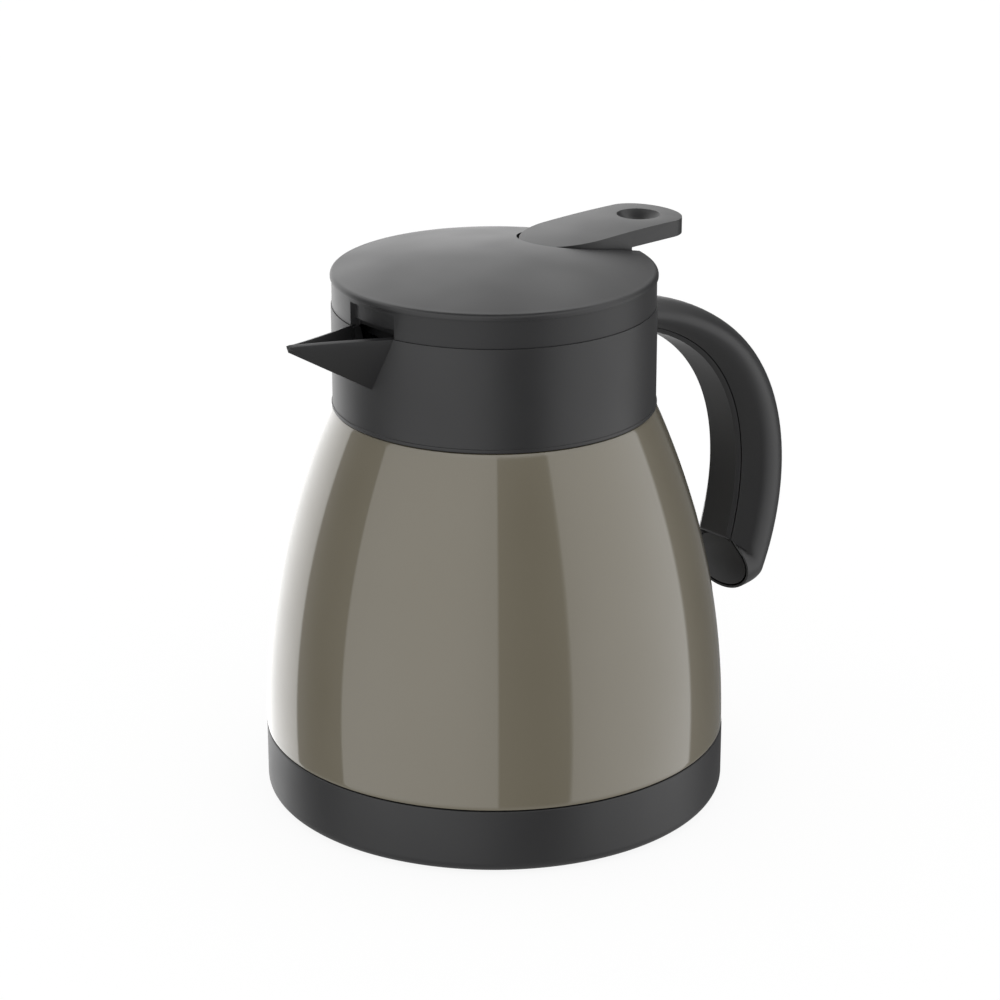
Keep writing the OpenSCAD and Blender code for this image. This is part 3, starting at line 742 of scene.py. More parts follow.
@dataclass
class Collar(Assembly):
    """The plastic collar with its open beak spout and its thread lugs."""

    outer_r: float = 44.7
    inner_r: float = 42.3
    foot_h: float = 113.5
    top_h: float = 142.1
    bead: float = 0.25
    bead_h: float = 1.0
    bead_foot_edge: float = 0.2
    bead_edge: float = 0.12
    bead_root: float = 0.1
    sleeve_in_r: float = 39.6
    sleeve_out_r: float = 41.2
    ledge_r: float = 36.9
    ledge_h: float = 123.2
    ledge_top_h: float = 125.2
    ledge_corner: float = 0.5
    edge: float = 0.35
    seam_edge: float = 0.12
    lug_tip_r: float = 40.1
    lug_root_r: float = 42.8
    lug_h: float = 137.5
    root_r: float = 43.02
    tip_r: float = 71.8
    tip_h: float = 144.0
    keel_h: float = 125.7
    half_w: float = 9.2
    tip_half_w: float = 0.9
    tip_depth: float = 1.6
    taper: float = 1.2
    wall: float = 1.2
    rings: int = 24
    side_points: int = 9
    keel_share: float = 0.1
    keel_rise: float = 1.6
    fullness: float = 1.15
    spout_edge: float = 0.3
    hole_r: float = 1.4
    hole_y: float = 4.6
    hole_h: float = 129.8
    hole_len: float = 10.0

    def make_ring(self) -> Piece:
        """Turns the collar's wall with its foot bead, ledge and sleeve."""
        e = self.edge
        outline = [
            (self.outer_r + self.bead, self.foot_h, self.bead_foot_edge),
            (self.outer_r + self.bead, self.foot_h + self.bead_h, self.bead_edge),
            (self.outer_r, self.foot_h + self.bead_h, self.bead_root),
            (self.outer_r, self.top_h, self.seam_edge),
            (self.inner_r, self.top_h, e), (self.inner_r, self.ledge_top_h, self.ledge_corner),
            (self.ledge_r, self.ledge_top_h, e), (self.ledge_r, self.ledge_h, 0),
            (self.sleeve_in_r, self.ledge_h, 0), (self.sleeve_in_r, self.foot_h, e),
            (self.sleeve_out_r, self.foot_h, e), (self.sleeve_out_r, self.ledge_h, 0),
            (self.inner_r, self.ledge_h, 0), (self.inner_r, self.foot_h, e)]
        return lathe("collar_with_spout", rounded(outline, steps=5), angle=None)

    def spout_w(self, u: float) -> float:
        """Gives half the spout's width at a share of its length."""
        return self.tip_half_w + (self.half_w - self.tip_half_w) * (1 - u) ** self.taper

    def side(self, inset: float, u: float) -> list[Point2]:
        """Draws one side of the V section, from the rim to the keel.

        Args:
            inset: how far the section lies inside the outer one.
            u: the share of the spout's length.

        Returns:
            Half widths and heights.
        """
        rim = self.top_h + (self.tip_h - self.top_h) * u
        keel = (self.keel_h + (self.tip_h - self.tip_depth - self.keel_h) * u
                + inset * self.keel_rise)
        last = self.side_points - 1
        width = self.spout_w(u) - inset
        return [(width * (1 - (1 - self.keel_share) * (k / last) ** self.fullness),
                 rim + (keel - rim) * k / last) for k in range(last + 1)]

    def make_spout(self) -> Piece:
        """Lofts the beak: the root's V section is extruded ring by ring and drawn in to the tip."""
        half = self.side(0, 0)
        line = [(-self.root_r, w, z) for w, z in half] + [
            (-self.root_r, -w, z) for w, z in reversed(half)]
        beak = draw_line("beak", line, closed=False)
        select_all()
        step = (self.tip_r - self.root_r) / self.rings
        for i in range(1, self.rings + 1):
            before, after = (i - 1) / self.rings, i / self.rings
            extrude_edges(-step, 0, 0)
            (_, old_rim), (_, old_keel) = self.side(0, before)[0], self.side(0, before)[-1]
            (_, rim), (_, keel) = self.side(0, after)[0], self.side(0, after)[-1]
            scale(1, self.spout_w(after) / self.spout_w(before),
                  (rim - keel) / (old_rim - old_keel), (0, 0, old_rim))
            move(0, 0, rim - old_rim)
        finish_mesh(beak, None)
        thicken(beak, self.wall, (0, 1, 0))
        ease_edges(beak, self.spout_edge, angle=60)
        return beak

    def make_channel(self) -> Piece:
        """Makes the tool that opens the collar's wall into the spout."""
        end_r = self.outer_r + OVERCUT
        u = (end_r - self.root_r) / (self.tip_r - self.root_r)
        half = self.side(self.wall, u)
        half.insert(0, (half[0][0], self.top_h + 3 * OVERCUT))
        line = [(-self.ledge_r, w, z) for w, z in half] + [
            (-self.ledge_r, -w, z) for w, z in reversed(half)]
        return block("channel", line, self.ledge_r - end_r, 0, 0)

    def build(self) -> None:
        """Builds the whole moulding."""
        collar = self.make_ring()
        lugs = Thread(self.lug_root_r, self.lug_tip_r, self.lug_h).make("collar_lugs")
        combine(collar, lugs, "UNION")
        combine(collar, self.make_spout(), "UNION")
        cut(collar, self.make_channel())
        for side in (-1, 1):
            cut(collar, rod("screw_hole", self.hole_r,
                            (self.outer_r, side * self.hole_y, self.hole_h),
                            self.hole_len, "X", sides=24))
        finish_mesh(collar, angle=32)
        self.hand_over(collar, Body.JUG, Slot.PLASTIC, ["collar"])


@dataclass
class Handle(Assembly):
    """The free-ended handle: a hollow grip shell and the flat strip that closes it."""

    root_r: float = 44.8
    root_h: float = 134.7
    reach: float = 66.6
    drop: float = 100.8
    inner_line: Sequence[Point2] = ((0, 0.083), (0.625, 0.165), (0.815, 0.472), (0.653, 0.8157))
    back_line: Sequence[Point2] = ((0, 0), (1.02, 0.0695), (1.147, 0.6207), (0.878, 0.9653))
    toe_line: Sequence[Point2] = ((0.878, 0.9653), (0.853, 0.996), (0.7207, 1))
    toe_inner: Point2 = (0.685, 0.82)
    half_w: float = 12.0
    root_half_w: float = 9.5
    widen_share: float = 0.3
    centre_share: float = 0.52
    first_angle: float = -30.0
    strip_half_w: float = 5.3
    strip_t: float = 1.4
    strip_gap: float = 0.15
    wall: float = 2.2
    toe_wall: float = 0.7
    rings: int = 44
    toe_rings: int = 16
    round_points: int = 20
    plug_start: float = 0.95
    plug_lead: float = 1.06
    plug_gap: float = 0.6
    shell_first: float = 0.05
    strip_first: float = 0.1
    plug_first: float = 0.08
    shell_edge: float = 0.35
    strip_edge: float = 0.25
    plug_edge: float = 0.4
    sliver: float = 0.04
    edge_reach: float = 0.1
    round_drop: float = 5.0
    round_len: float = 60.0
    # While they are lofted, the rings lie level in a stack far above the jug
    lift: float = 1000.0
    ring_gap: float = 10.0

    def bezier(self, shares: Sequence[Point2], t: float) -> Vector:
        """Gives a place on one of the handle's lines, of three or four shares, as x and z."""
        last = len(shares) - 1
        weights = [math.comb(last, k) * t ** k * (1 - t) ** (last - k) for k in range(last + 1)]
        x = sum(w * s[0] for w, s in zip(weights, shares))
        z = sum(w * s[1] for w, s in zip(weights, shares))
        return Vector((self.root_r + self.reach * x, self.root_h - self.drop * z))

    def wall_at(self, t: float) -> float:
        """Gives the shell's wall, which thins round the toe."""
        return self.wall + (self.toe_wall - self.wall) * max(t - 1, 0)

    def section(self, t: float) -> tuple[Vector, float, float]:
        """Gives a section's place, lean and depth.

        Args:
            t: the share of the handle's length, and from 1 to 2 the way round its toe.

        Returns:
            The place on the strip's face, the angle of the depth above the level in degrees, and
            the depth in millimetres.
        """
        a, b = self.bezier(self.inner_line, min(t, 1)), self.bezier(self.back_line, min(t, 1))
        if t > 1:
            a = a.lerp(self.bezier([self.toe_inner], 0), t - 1)
            b = self.bezier(self.toe_line, t - 1)
        return a, math.degrees(math.atan2(b.y - a.y, b.x - a.x)), (b - a).length

    def half(self, t: float) -> float:
        """Gives half the grip's width."""
        s = min(t / self.widen_share, 1)
        return self.root_half_w + (self.half_w - self.root_half_w) * s * s * (3 - 2 * s)

    def flare(self, t: float, depth: float) -> float:
        """Gives half the width of the flared side at a depth under the strip's face."""
        full = self.section(t)[2]
        a = math.radians(self.first_angle)
        first_depth = full * (self.centre_share + (1 - self.centre_share) * math.sin(a))
        first_w = self.half(t) * math.cos(a)
        return self.strip_half_w + (first_w - self.strip_half_w) * depth / first_depth

    def oval(self) -> list[Point2]:
        """Draws half the grip's round as shares of its depth and half width."""
        first = math.radians(self.first_angle)
        angles = [first + (math.pi / 2 - first) * k / self.round_points
                  for k in range(self.round_points + 1)]
        return [(self.centre_share + (1 - self.centre_share) * math.sin(a), math.cos(a))
                for a in angles]

    def grip_line(self, first: float) -> list[Point2]:
        """Draws the grip's section from its first edge, at a share of the depth, to its last."""
        half = self.oval()
        return [(first, 0.5)] + half + [(d, -w) for d, w in reversed(half[:-1])] + [(first, -0.5)]

    def select_ring(self, piece: Piece, level: float,
                    test: Callable[[Vector], bool] = lambda place: True) -> None:
        """Selects the ring at a level, or the part of it that passes a test."""
        reach = self.ring_gap * MM / 3
        select_points(piece, lambda p: abs(p.z - level * MM) < reach and test(p))

    def cut_to_collar(self, piece: Piece) -> None:
        """Takes off what stands inside the collar's round."""
        cut(piece, rod("collar_round", self.root_r, (0, 0, self.root_h - self.round_drop),
                       self.round_len, "Z", sides=256))

    def loft(self, name: str, line: Sequence[Point2], closed: bool, places: Sequence[float],
             fit_ring: RingFit) -> Piece:
        """Extrudes a section ring by ring, then leans and moves every ring into its place.

        Args:
            name: the piece's name.
            line: the section as shares of depth and half width.
            closed: whether the section is a ring.
            places: the shares of the handle's length.
            fit_ring: corrects the selected ring after it has its size.

        Returns:
            The lofted piece, in edit mode.
        """
        _, _, depth = self.section(places[0])
        half = self.half(places[0])
        piece = draw_line(name, [(d * depth, w * half, self.lift) for d, w in line], closed)
        levels = [self.lift + i * self.ring_gap for i in range(len(places))]
        select_all()
        for t, level in list(zip(places, levels))[1:]:
            extrude_edges(0, 0, self.ring_gap)
            scale(self.section(t)[2] / depth, self.half(t) / half, 1, (0, 0, level))
            depth, half = self.section(t)[2], self.half(t)
        bpy.ops.object.mode_set(mode="OBJECT")
        group = piece.vertex_groups.new(name="wall")
        for vertex in piece.data.vertices:
            t = places[round((vertex.co.z / MM - self.lift) / self.ring_gap)]
            group.add([vertex.index], self.wall_at(t) / self.wall, "REPLACE")
        edit(piece)
        for t, level in zip(places, levels):
            self.select_ring(piece, level)
            fit_ring(piece, t, self.section(t)[2], level)
        for t, level in zip(places, levels):
            self.select_ring(piece, level)
            start, lean, _ = self.section(t)
            turn(-lean, "Y", (0, 0, level))
            move(start.x, 0, start.y - level)
        return piece

    def make_shell(self) -> None:
        """Lofts the grip's outer skin and gives it its wall."""
        start = self.strip_t + self.strip_gap

        def fit_edge(piece: Piece, t: float, depth: float, level: float) -> None:
            """Puts the two edges of the flare at the strip's underside."""
            edge = self.shell_first * depth
            limit = (edge + TINY / MM) * MM * 1.01
            self.select_ring(piece, level, lambda p: p.x < limit)
            scale(start / edge, self.flare(t, start) / (0.5 * self.half(t)), 1, (0, 0, level))

        places = [i / self.rings for i in range(self.rings + 1)] + [
            1 + i / self.toe_rings for i in range(1, self.toe_rings + 1)]
        shell = self.loft("grip_shell", self.grip_line(self.shell_first), False, places, fit_edge)
        finish_mesh(shell, None)
        thicken(shell, self.wall, (1, 0, 0), vertex_group="wall", thickness_vertex_group=0.0)
        shell.vertex_groups.clear()
        self.cut_to_collar(shell)
        ease_edges(shell, self.shell_edge)
        # Where the round meets the cut it leaves slivers, which are merged away
        edit(shell)
        bpy.ops.mesh.remove_doubles(threshold=self.sliver * MM)
        bpy.ops.mesh.dissolve_degenerate(threshold=self.sliver / 2 * MM)
        finish_mesh(shell, angle=30)
        self.hand_over(shell, Body.JUG, Slot.PLASTIC, ["handle_shell"])

    def make_strip(self) -> None:
        """Lofts the flat strip and the plug that closes the grip's free end."""
        places = [i / self.rings for i in range(self.rings + 1)]
        under = self.strip_first

        def fit_strip(piece: Piece, t: float, depth: float, level: float) -> None:
            """Sets the strip's thickness and the widths of its two faces."""
            scale(self.strip_t / (under * depth), 1, 1, (0, 0, level))
            middle = self.strip_t / 2 * MM
            for is_face, width in ((True, self.strip_half_w), (False, self.flare(t, self.strip_t))):
                self.select_ring(piece, level, lambda p: (p.x < middle) == is_face)
                scale(1, width / (0.5 * self.half(t)), 1, (0, 0, level))

        strip = self.loft("grip_strip", [(0, 0.5), (under, 0.5), (under, -0.5), (0, -0.5)], True,
                          places, fit_strip)
        self.close_ends(strip)
        ease_edges(strip, self.strip_edge, segments=2)
        combine(strip, self.make_plug(), "UNION")
        self.cut_to_collar(strip)
        finish_mesh(strip, angle=30)
        self.hand_over(strip, Body.JUG, Slot.PLASTIC, ["handle_strip"])

    def make_plug(self) -> Piece:
        """Lofts the plug that fills the free end, a groove's width inside the shell."""

        def fit_plug(piece: Piece, t: float, depth: float, level: float) -> None:
            """Draws the oval in by the wall and the groove."""
            inset = self.wall_at(t) + self.plug_gap
            middle = depth * self.centre_share
            half = self.half(t) - inset
            shrink = (depth - middle - inset) / (depth - middle)
            scale(shrink, half / self.half(t), 1, (middle, 0, level))
            root = self.strip_t - self.strip_gap
            edge = middle + (self.plug_first * depth - middle) * shrink
            first = math.radians(self.first_angle)
            low_w = self.strip_half_w - inset
            width = low_w + (half * math.cos(first) - low_w) * root / (
                middle + (depth - middle - inset) * math.sin(first))
            limit = (edge + self.edge_reach) * MM
            self.select_ring(piece, level, lambda p: p.x < limit)
            scale(root / edge, width / (0.5 * half), 1, (0, 0, level))

        places = [self.plug_start, self.plug_lead] + [
            1 + i / self.toe_rings for i in range(2, self.toe_rings + 1)]
        plug = self.loft("grip_plug", self.grip_line(self.plug_first), True, places, fit_plug)
        self.close_ends(plug)
        ease_edges(plug, self.plug_edge, angle=60)
        return plug

    def close_ends(self, piece: Piece) -> None:
        """Fills the open ends of a lofted piece, which is in edit mode, and leaves that mode."""
        select_all()
        bpy.ops.mesh.fill_holes(sides=0)
        finish_mesh(piece, None)
        piece.vertex_groups.clear()

    def build(self) -> None:
        """Builds the whole handle."""
        self.make_shell()
        self.make_strip()


@dataclass
class LeverPlan:
    """The lever's outline from above, two half ovals and straight sides, and its pivot and arm."""

    tip_x: float = 12.4
    front_len: float = 17.5
    end_x: float = 66.2
    end_len: float = 9.2
    half_w: float = 12.3
    pivot_x: float = 30.0
    pivot_h: float = 149.5
    arm_w: float = 12.0
    points: int = 96

    def draw(self, name: str, grow: float, height: float) -> Piece:
        """Shapes a filled outline from a circle.

        Args:
            name: the piece's name.
            grow: how far it is grown all round.
            height: the height that it lies at.

        Returns:
            The flat face, in edit mode and selected.
        """
        clear_selection()
        bpy.ops.mesh.primitive_circle_add(vertices=self.points, radius=MM, fill_type="NGON",
                                          location=(0, 0, height * MM))
        piece = name_piece(bpy.context.object, name)
        bpy.ops.object.transform_apply()
        edit(piece)
        scale(1, self.half_w + grow, 1, (0, 0, height))
        select_points(piece, lambda p: p.x > TINY)
        scale(self.end_len + grow, 1, 1, (0, 0, height))
        move(self.end_x - self.end_len, 0, 0)
        select_points(piece, lambda p: p.x <= MM)
        scale(self.front_len + grow, 1, 1, (0, 0, height))
        move(self.tip_x + self.front_len, 0, 0)
        select_all()
        return piece

    def prism(self, name: str, grow: float, low: float, high: float,
              end_x: Optional[float] = None) -> Piece:
        """Extrudes the outline to a block.

        Args:
            name: the piece's name.
            grow: how far it is grown all round.
            low: the foot's height.
            high: the top's height.
            end_x: where it is cut off towards the handle, or None.

        Returns:
            The closed block.
        """
        piece = self.draw(name, grow, low)
        if end_x is not None:
            bpy.ops.mesh.bisect(plane_co=(end_x * MM, 0, 0), plane_no=(1, 0, 0),
                                clear_outer=True)
            select_all()
        extrude_faces(0, 0, high - low)
        finish_mesh(piece, None)
        return piece


@dataclass
class Lid(Assembly):
    """The lid's cover: a shallow dome with a rounded rim, a slot for the lever and a port."""

    plan: LeverPlan = field(default_factory=LeverPlan)
    outer_r: float = 44.85
    crest_r: float = 43.55
    crest_h: float = 151.6
    top_h: float = 157.1
    edge_r: float = 1.3
    edge_steps: int = 10
    small_edge: float = 0.12
    foot_edge: float = 0.3
    wall: float = 2.1
    lip_h: float = 149.8
    skirt_r: float = 44.45
    foot_h: float = 142.12
    deck_top_h: float = 144.4
    dome_steps: int = 40
    slot_gap: float = 0.35
    side_gap: float = 1.0
    slot_wall: float = 2.0
    slot_end_x: float = 41.5
    rim_cut_h: float = 149.6
    port_w: float = 18.4
    port_top_h: float = 148.7
    port_flare: float = 1.6
    baffle_r: float = 43.6
    baffle_t: float = 1.8
    baffle_half_span: float = 17.0
    baffle_steps: int = 24
    post_r: float = 3.0
    post_ring_r: float = 30.0
    post_angles: Sequence[float] = (100.0, 180.0, 260.0)
    pin_r: float = 1.5
    door_top_h: float = 152.6
    door_x: float = 7.8

    @property
    def dome_arc_r(self) -> float:
        """Gives the radius of the dome's arc."""
        rise = self.top_h - self.crest_h
        return (self.crest_r ** 2 + rise ** 2) / (2 * rise)

    def dome(self, inset: float, last_r: float) -> list[Corner]:
        """Draws the dome's arc from the axis outwards.

        Args:
            inset: how far it lies under the outer face.
            last_r: the radius where it ends.

        Returns:
            Points with no round.
        """
        arc = self.dome_arc_r - inset
        middle = self.top_h - self.dome_arc_r
        radii = [last_r * k / self.dome_steps for k in range(self.dome_steps + 1)]
        return [(r, middle + math.sqrt(arc ** 2 - r ** 2), 0.0) for r in radii]

    def make_shell(self) -> Piece:
        """Turns the dome, its rounded rim and the skirt."""
        inner_r = self.skirt_r - self.wall
        outer = self.dome(0, self.crest_r)
        # The rim's round, turned from the dome's slope to the upright side
        slope = math.asin(self.crest_r / self.dome_arc_r)
        bend = [(self.outer_r - self.edge_r + self.edge_r * math.sin(a),
                 self.crest_h - self.edge_r + self.edge_r * math.cos(a), 0.0)
                for a in (slope + (math.pi / 2 - slope) * k / self.edge_steps
                          for k in range(1, self.edge_steps + 1))]
        inner = self.dome(self.wall, inner_r)
        inner.reverse()
        e = self.small_edge
        outline = (outer + bend
                   + [(self.outer_r, self.lip_h, e), (self.skirt_r, self.lip_h, e),
                      (self.skirt_r, self.foot_h, e), (inner_r, self.foot_h, self.foot_edge)]
                   + inner)
        return lathe("lid_dome", rounded(outline, steps=3, closed=False), closed=False, angle=None)

    def make_inside(self) -> Piece:
        """Builds the slot's wall, the screw posts and the baffle, cut off under the dome."""
        well = self.plan.prism("slot_wall", self.side_gap + self.slot_gap + self.slot_wall,
                               self.deck_top_h, self.top_h, self.slot_end_x + self.slot_wall)
        height = self.top_h - self.deck_top_h
        post = rod("screw_post", self.post_r, (self.post_ring_r, 0, self.deck_top_h + height / 2),
                   height, "Z")
        posts = repeat(post, self.post_angles)
        back_r = self.baffle_r - self.baffle_t
        baffle = arc_block("baffle", [(back_r, self.deck_top_h), (self.baffle_r, self.deck_top_h),
                                      (self.baffle_r, self.top_h), (back_r, self.top_h)],
                           2 * self.baffle_half_span, self.baffle_steps, 180)
        inside = join([well, *posts, baffle])
        reach = self.skirt_r - self.wall / 2
        under = [(0, self.foot_h, 0.0), (reach, self.foot_h, 0.0)] + list(
            reversed(self.dome(self.wall / 2, reach)))
        filler = lathe("dome_filler", [(r, z) for r, z, _ in under], closed=False, steps=128,
                       angle=None)
        combine(inside, filler, "INTERSECT")
        return inside

    def make_port(self) -> Piece:
        """Makes the tool that opens the port, its sides drawn in towards the baffle."""
        outer, inner = -self.outer_r - OVERCUT, self.baffle_t - self.baffle_r
        wide, narrow = self.port_w / 2 + self.port_flare, self.port_w / 2 - self.port_flare
        low = self.foot_h - 2 * OVERCUT
        return block("port", [(outer, -wide, low), (outer, wide, low), (inner, narrow, low),
                              (inner, -narrow, low)], 0, 0, self.port_top_h - low)

    def build(self) -> None:
        """Builds the cover."""
        cover = self.make_shell()
        cut(cover, self.make_port())
        combine(cover, self.make_inside(), "UNION")
        wide = replace(self.plan, half_w=self.plan.half_w + self.side_gap)
        slot = wide.prism("slot", self.slot_gap, self.foot_h - OVERCUT, self.top_h + 2 * OVERCUT,
                          self.slot_end_x)
        half, door = wide.half_w + self.slot_gap, self.plan.arm_w / 2 + self.slot_gap
        cut(cover, slot,
            box("rim_cut", (self.slot_end_x - OVERCUT, -half, self.rim_cut_h),
                (self.outer_r + 2 * OVERCUT, half, self.top_h)),
            box("arm_door", (self.door_x, -door, self.foot_h),
                (self.door_x + self.plan.arm_w, door, self.door_top_h)),
            rod("pin_bore", self.pin_r, (self.plan.pivot_x, 0, self.plan.pivot_h),
                2 * (half + self.slot_wall) + OVERCUT, "Y", sides=32))
        finish_mesh(cover, angle=30)
        self.hand_over(cover, Body.LID, Slot.PLASTIC, ["lid_cover"])


@dataclass
class Lever(Assembly):
    """The thumb lever with its dimple, its rocker arm and fork."""

    plan: LeverPlan = field(default_factory=LeverPlan)
    low_h: float = 146.6
    under_h: float = 152.4
    rise: float = 8.0
    deep_end_x: float = 40.5
    tip_top_h: float = 155.8
    end_top_h: float = 156.8
    arch: float = 0.7
    arch_steps: int = 28
    dimple_x: float = 54.95
    dimple_r: float = 6.2
    dimple_d: float = 3.3
    bore_r: float = 1.55
    arm_low_h: float = 144.8
    arm_t: float = 2.3
    arm_back_x: float = -2.0
    arm_end_x: float = 22.0
    fork_r: float = 3.1
    edge: float = 0.6
    arm_edge: float = 0.3

    def top_at(self, x: float) -> float:
        """Gives the height of the arched top."""
        u = (x - self.plan.tip_x) / (self.plan.end_x - self.plan.tip_x)
        return (self.tip_top_h + (self.end_top_h - self.tip_top_h) * u
                + 4 * self.arch * u * (1 - u))

    def make_mould(self) -> Piece:
        """Makes the block under the arched top, which the paddle is cut to."""
        first, last = self.plan.tip_x - OVERCUT, self.plan.end_x + OVERCUT
        low, half = self.low_h - OVERCUT, self.plan.half_w + OVERCUT
        xs = [first + (last - first) * k / self.arch_steps for k in range(self.arch_steps + 1)]
        return block("top_mould", [(x, -half, self.top_at(x)) for x in xs]
                     + [(last, -half, low), (first, -half, low)], 0, 2 * half, 0)

    def make_paddle(self) -> Piece:
        """Shapes the paddle: the outline is extruded up, its front half down into the slot."""
        paddle = self.plan.draw("thumb_lever", 0, self.under_h)
        bpy.ops.mesh.bisect(plane_co=(self.deep_end_x * MM, 0, 0), plane_no=(1, 0, 0))
        select_all()
        extrude_faces(0, 0, self.rise)
        select_all()
        bpy.ops.mesh.normals_make_consistent(inside=False)
        # The front half's faces that look down
        select_faces(paddle, lambda middle, normal: normal.z < -0.9
                     and middle.x < self.deep_end_x * MM)
        extrude_faces(0, 0, self.low_h - self.under_h)
        finish_mesh(paddle, None)
        combine(paddle, self.make_mould(), "INTERSECT")
        return paddle

    def make_dimple(self) -> Piece:
        """Makes the ball that presses the thumb's dimple."""
        ball_r = (self.dimple_r ** 2 + self.dimple_d ** 2) / (2 * self.dimple_d)
        top = self.top_at(self.dimple_x)
        clear_selection()
        bpy.ops.mesh.primitive_uv_sphere_add(
            segments=128, ring_count=96, radius=ball_r * MM,
            location=(self.dimple_x * MM, 0, (top + ball_r - self.dimple_d) * MM))
        ball = name_piece(bpy.context.object, "dimple_ball")
        bpy.ops.object.transform_apply()
        return ball

    def build(self) -> None:
        """Builds the lever."""
        lever = self.make_paddle()
        ease_edges(lever, self.edge, segments=4, angle=40)
        arm = box("rocker_arm", (self.arm_back_x, -self.plan.arm_w / 2, self.arm_low_h),
                  (self.arm_end_x, self.plan.arm_w / 2, self.arm_low_h + self.arm_t))
        ease_edges(arm, self.arm_edge, segments=2, angle=40)
        combine(lever, arm, "UNION")
        middle = self.arm_low_h + self.arm_t / 2
        cut(lever, self.make_dimple(),
            rod("fork_round", self.fork_r, (0, 0, middle), self.arm_t + 2 * OVERCUT, "Z"),
            box("fork_mouth", (self.arm_back_x - OVERCUT, -self.fork_r, self.arm_low_h - OVERCUT),
                (0, self.fork_r, self.arm_low_h + self.arm_t + OVERCUT)),
            rod("pin_bore", self.bore_r, (self.plan.pivot_x, 0, self.plan.pivot_h),
                2 * self.plan.half_w + OVERCUT, "Y", sides=32))
        finish_mesh(lever, angle=30)
        self.hand_over(lever, Body.LEVER, Slot.PLASTIC, ["lever"])


@dataclass
class Spring(Assembly):
    """The closing spring of the pouring valve."""

    coil_r: float = 4.6
    wire_r: float = 0.5
    low_h: float = 116.65
    high_h: float = 140.7
    turns: int = 7
    turn_steps: int = 40
    wire_sides: int = 10
    fixed_h: float = 141.2
    lift: float = 4.9

    def build(self) -> None:
        """Winds the wire."""
        line = [(self.coil_r + self.wire_r * math.cos(a), self.low_h + self.wire_r * math.sin(a))
                for a in (FULL_TURN * k / self.wire_sides for k in range(self.wire_sides))]
        spring = draw_line("closing_spring", line, closed=True)
        apply(spring, "SCREW", axis="Z", angle=FULL_TURN, iterations=self.turns,
              steps=self.turn_steps, render_steps=self.turn_steps,
              screw_offset=(self.high_h - self.low_h) / self.turns * MM, use_normal_calculate=True)
        edit(spring)
        bpy.ops.mesh.fill_holes(sides=0)
        finish_mesh(spring, angle=40)
        self.hand_over(spring, Body.LID, Slot.HARDWARE, ["valve_spring"])
        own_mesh(spring)


@dataclass(frozen=True)
class Panel:
    """One upright panel or flag of the studio, from one azimuth to another."""

    start: float
    end: float
    glow: float
    end_glow: float


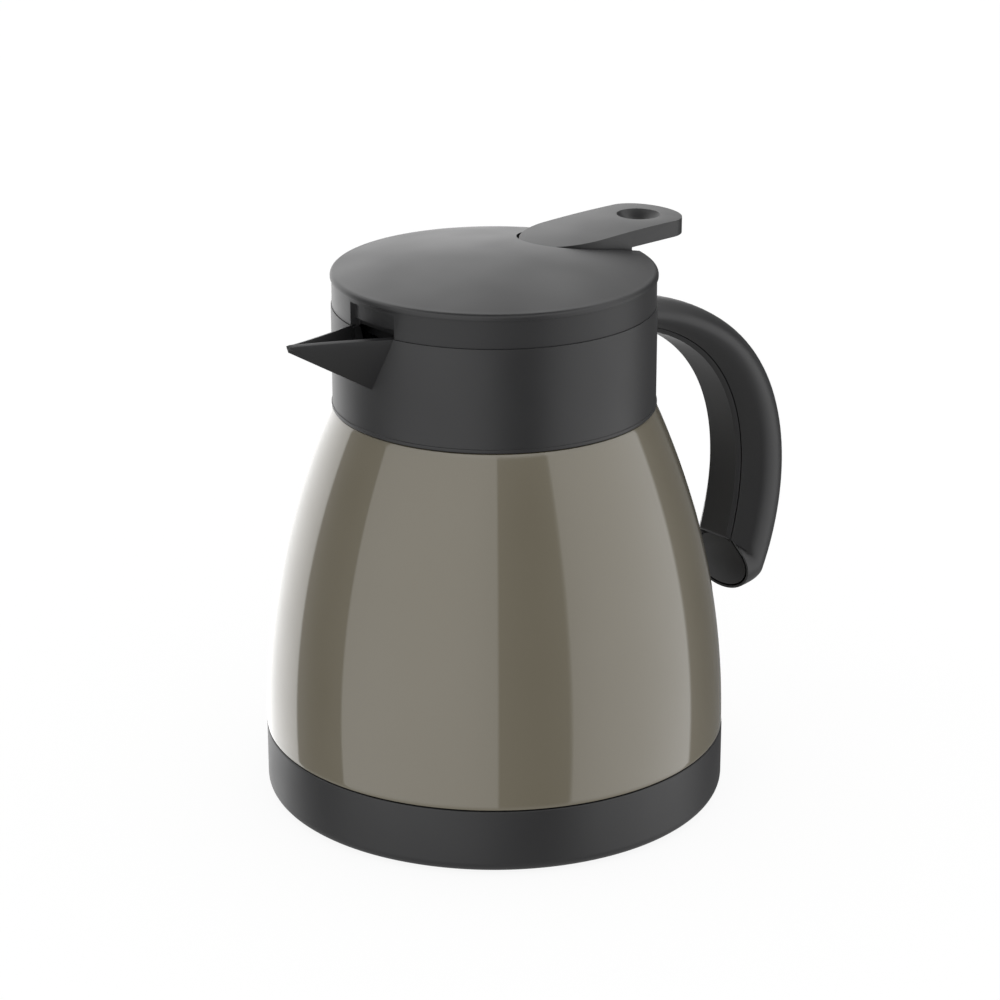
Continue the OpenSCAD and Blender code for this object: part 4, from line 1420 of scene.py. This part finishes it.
@dataclass
class Studio:
    """Camera, floor and light."""

    panels: Sequence[Panel] = (
        Panel(-180.0, -130.0, 1.4, 1.4), Panel(-130.0, -94.0, 0.0, 0.0),
        Panel(-94.0, -17.0, 1.43, 1.7), Panel(-17.0, 40.0, 0.0, 0.25),
        Panel(40.0, 111.5, 1.9, 1.9), Panel(111.5, 147.0, 0.0, 0.0),
        Panel(147.0, 180.0, 1.4, 1.4))
    full_glow: float = 2.0
    edge: float = 1.0
    layers: Sequence[tuple[float, float, float]] = (
        (0.45, 0.68, 2.0), (0.77, 0.89, 0.1), (-0.42, -0.62, 0.5))
    floor_colour: str = "#5c5c5c"
    floor_glow: float = 0.9
    fill: float = 1.0
    camera_at: tuple[float, float, float] = (-555.5, -617.0, 386.4)
    heading: tuple[float, float] = (0.6705, 0.7419)
    pitch: float = 19.997
    lens: float = 113.65
    sensor: float = 36.0
    nearest_m: float = 0.01
    floor_m: float = 12.0

    def place_camera(self) -> None:
        """Puts the camera where the photograph was taken."""
        data = bpy.data.cameras.new("view")
        data.lens = self.lens
        data.sensor_width = self.sensor
        data.clip_start = self.nearest_m
        camera = bpy.data.objects.new("view", data)
        camera.location = [c * MM for c in self.camera_at]
        camera.rotation_euler = (math.radians(90 - self.pitch), 0,
                                 -math.atan2(self.heading[0], self.heading[1]))
        bpy.context.collection.objects.link(camera)
        bpy.context.scene.camera = camera

    def lay_floor(self) -> None:
        """Lays a plain white floor."""
        clear_selection()
        bpy.ops.mesh.primitive_plane_add(size=self.floor_m)
        floor = name_piece(bpy.context.object, "studio_floor")
        floor.visible_glossy = False
        material = bpy.data.materials.new("white_paper_floor")
        material.use_nodes = True
        shader = material.node_tree.nodes["Principled BSDF"]
        values = {"Base Color": linear(self.floor_colour), "Emission Color": (1, 1, 1, 1),
                  "Emission Strength": self.floor_glow, "Roughness": 1.0,
                  "Specular IOR Level": 0.0}
        for name, value in values.items():
            shader.inputs[name].default_value = value
        floor.data.materials.append(material)

    def light(self) -> None:
        """Lights the scene evenly all round, with the panels and layers in the reflections."""
        world = bpy.data.worlds.new("studio")
        world.use_nodes = True
        bpy.context.scene.world = world
        tree = world.node_tree
        tree.nodes.clear()
        place = add_node(tree, "ShaderNodeTexCoord")
        parts = add_node(tree, "ShaderNodeSeparateXYZ",
                         links={"Vector": place.outputs["Generated"]})
        colour = self.layer_glow(tree, parts, self.show_panels(tree, parts))
        mirrored = add_node(tree, "ShaderNodeBackground", {"Strength": self.full_glow},
                            {"Color": colour})
        even = add_node(tree, "ShaderNodeBackground",
                        {"Color": (1, 1, 1, 1), "Strength": self.fill})
        path = add_node(tree, "ShaderNodeLightPath")
        mix = add_node(tree, "ShaderNodeMixShader",
                       links={0: path.outputs["Is Glossy Ray"], 1: even.outputs[0],
                              2: mirrored.outputs[0]})
        add_node(tree, "ShaderNodeOutputWorld", links={"Surface": mix.outputs[0]})
        settings = bpy.context.scene.view_settings
        settings.view_transform = "Standard"
        settings.look = "None"
        settings.exposure = 0.0
        settings.gamma = 1.0

    def show_panels(self, tree: bpy.types.NodeTree, parts: bpy.types.Node) -> Socket:
        """Adds the nodes of the upright panels, a ramp round the azimuth.

        Args:
            tree: the world's node tree.
            parts: the node that splits the direction.

        Returns:
            The panels' colour.
        """
        azimuth = add_node(tree, "ShaderNodeMath",
                           links={0: parts.outputs["Y"], 1: parts.outputs["X"]},
                           operation="ARCTAN2")
        share = add_node(tree, "ShaderNodeMapRange",
                         {"From Min": -math.pi, "From Max": math.pi},
                         {"Value": azimuth.outputs[0]})
        ramp = add_node(tree, "ShaderNodeValToRGB", links={"Fac": share.outputs["Result"]})
        stops = ramp.color_ramp.elements
        while len(stops) > 1:
            stops.remove(stops[-1])
        marks = [((at + 180) / 360, glow / self.full_glow) for panel in self.panels
                 for at, glow in ((panel.start + self.edge / 2, panel.glow),
                                  (panel.end - self.edge / 2, panel.end_glow))]
        for i, (position, level) in enumerate(marks):
            stop = stops.new(position) if i else stops[0]
            stop.position = position
            stop.color = (level, level, level, 1)
        return ramp.outputs["Color"]

    def layer_glow(self, tree: bpy.types.NodeTree, parts: bpy.types.Node,
                   colour: Socket) -> Socket:
        """Lays the glow of the upper and lower layers over a colour.

        Args:
            tree: the world's node tree.
            parts: the node that splits the direction.
            colour: the colour under the layers.

        Returns:
            The colour with every layer over it.
        """
        for start, full, glow in self.layers:
            reach = add_node(tree, "ShaderNodeMapRange", {"From Min": start, "From Max": full},
                             {"Value": parts.outputs["Z"]}, interpolation_type="SMOOTHSTEP")
            level = glow / self.full_glow
            layer = add_node(tree, "ShaderNodeMix", {7: (level, level, level, 1)},
                             {0: reach.outputs["Result"], 6: colour}, data_type="RGBA")
            colour = layer.outputs[2]
        return colour

    def build(self) -> None:
        """Sets the whole studio."""
        self.place_camera()
        self.lay_floor()
        self.light()


def main() -> None:
    """Builds the jug's looks and the studio."""
    logging.basicConfig(level=logging.INFO, format="%(name)s %(message)s")
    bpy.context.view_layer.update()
    Studio().build()
    wardrobe = Wardrobe()
    wardrobe.dress_nodes(frame["record"])
    for part in (Vessel, Collar, Handle, Lid, Lever, Spring):
        part(wardrobe).build()
    clear_selection()


if __name__ == "__main__":
    main()
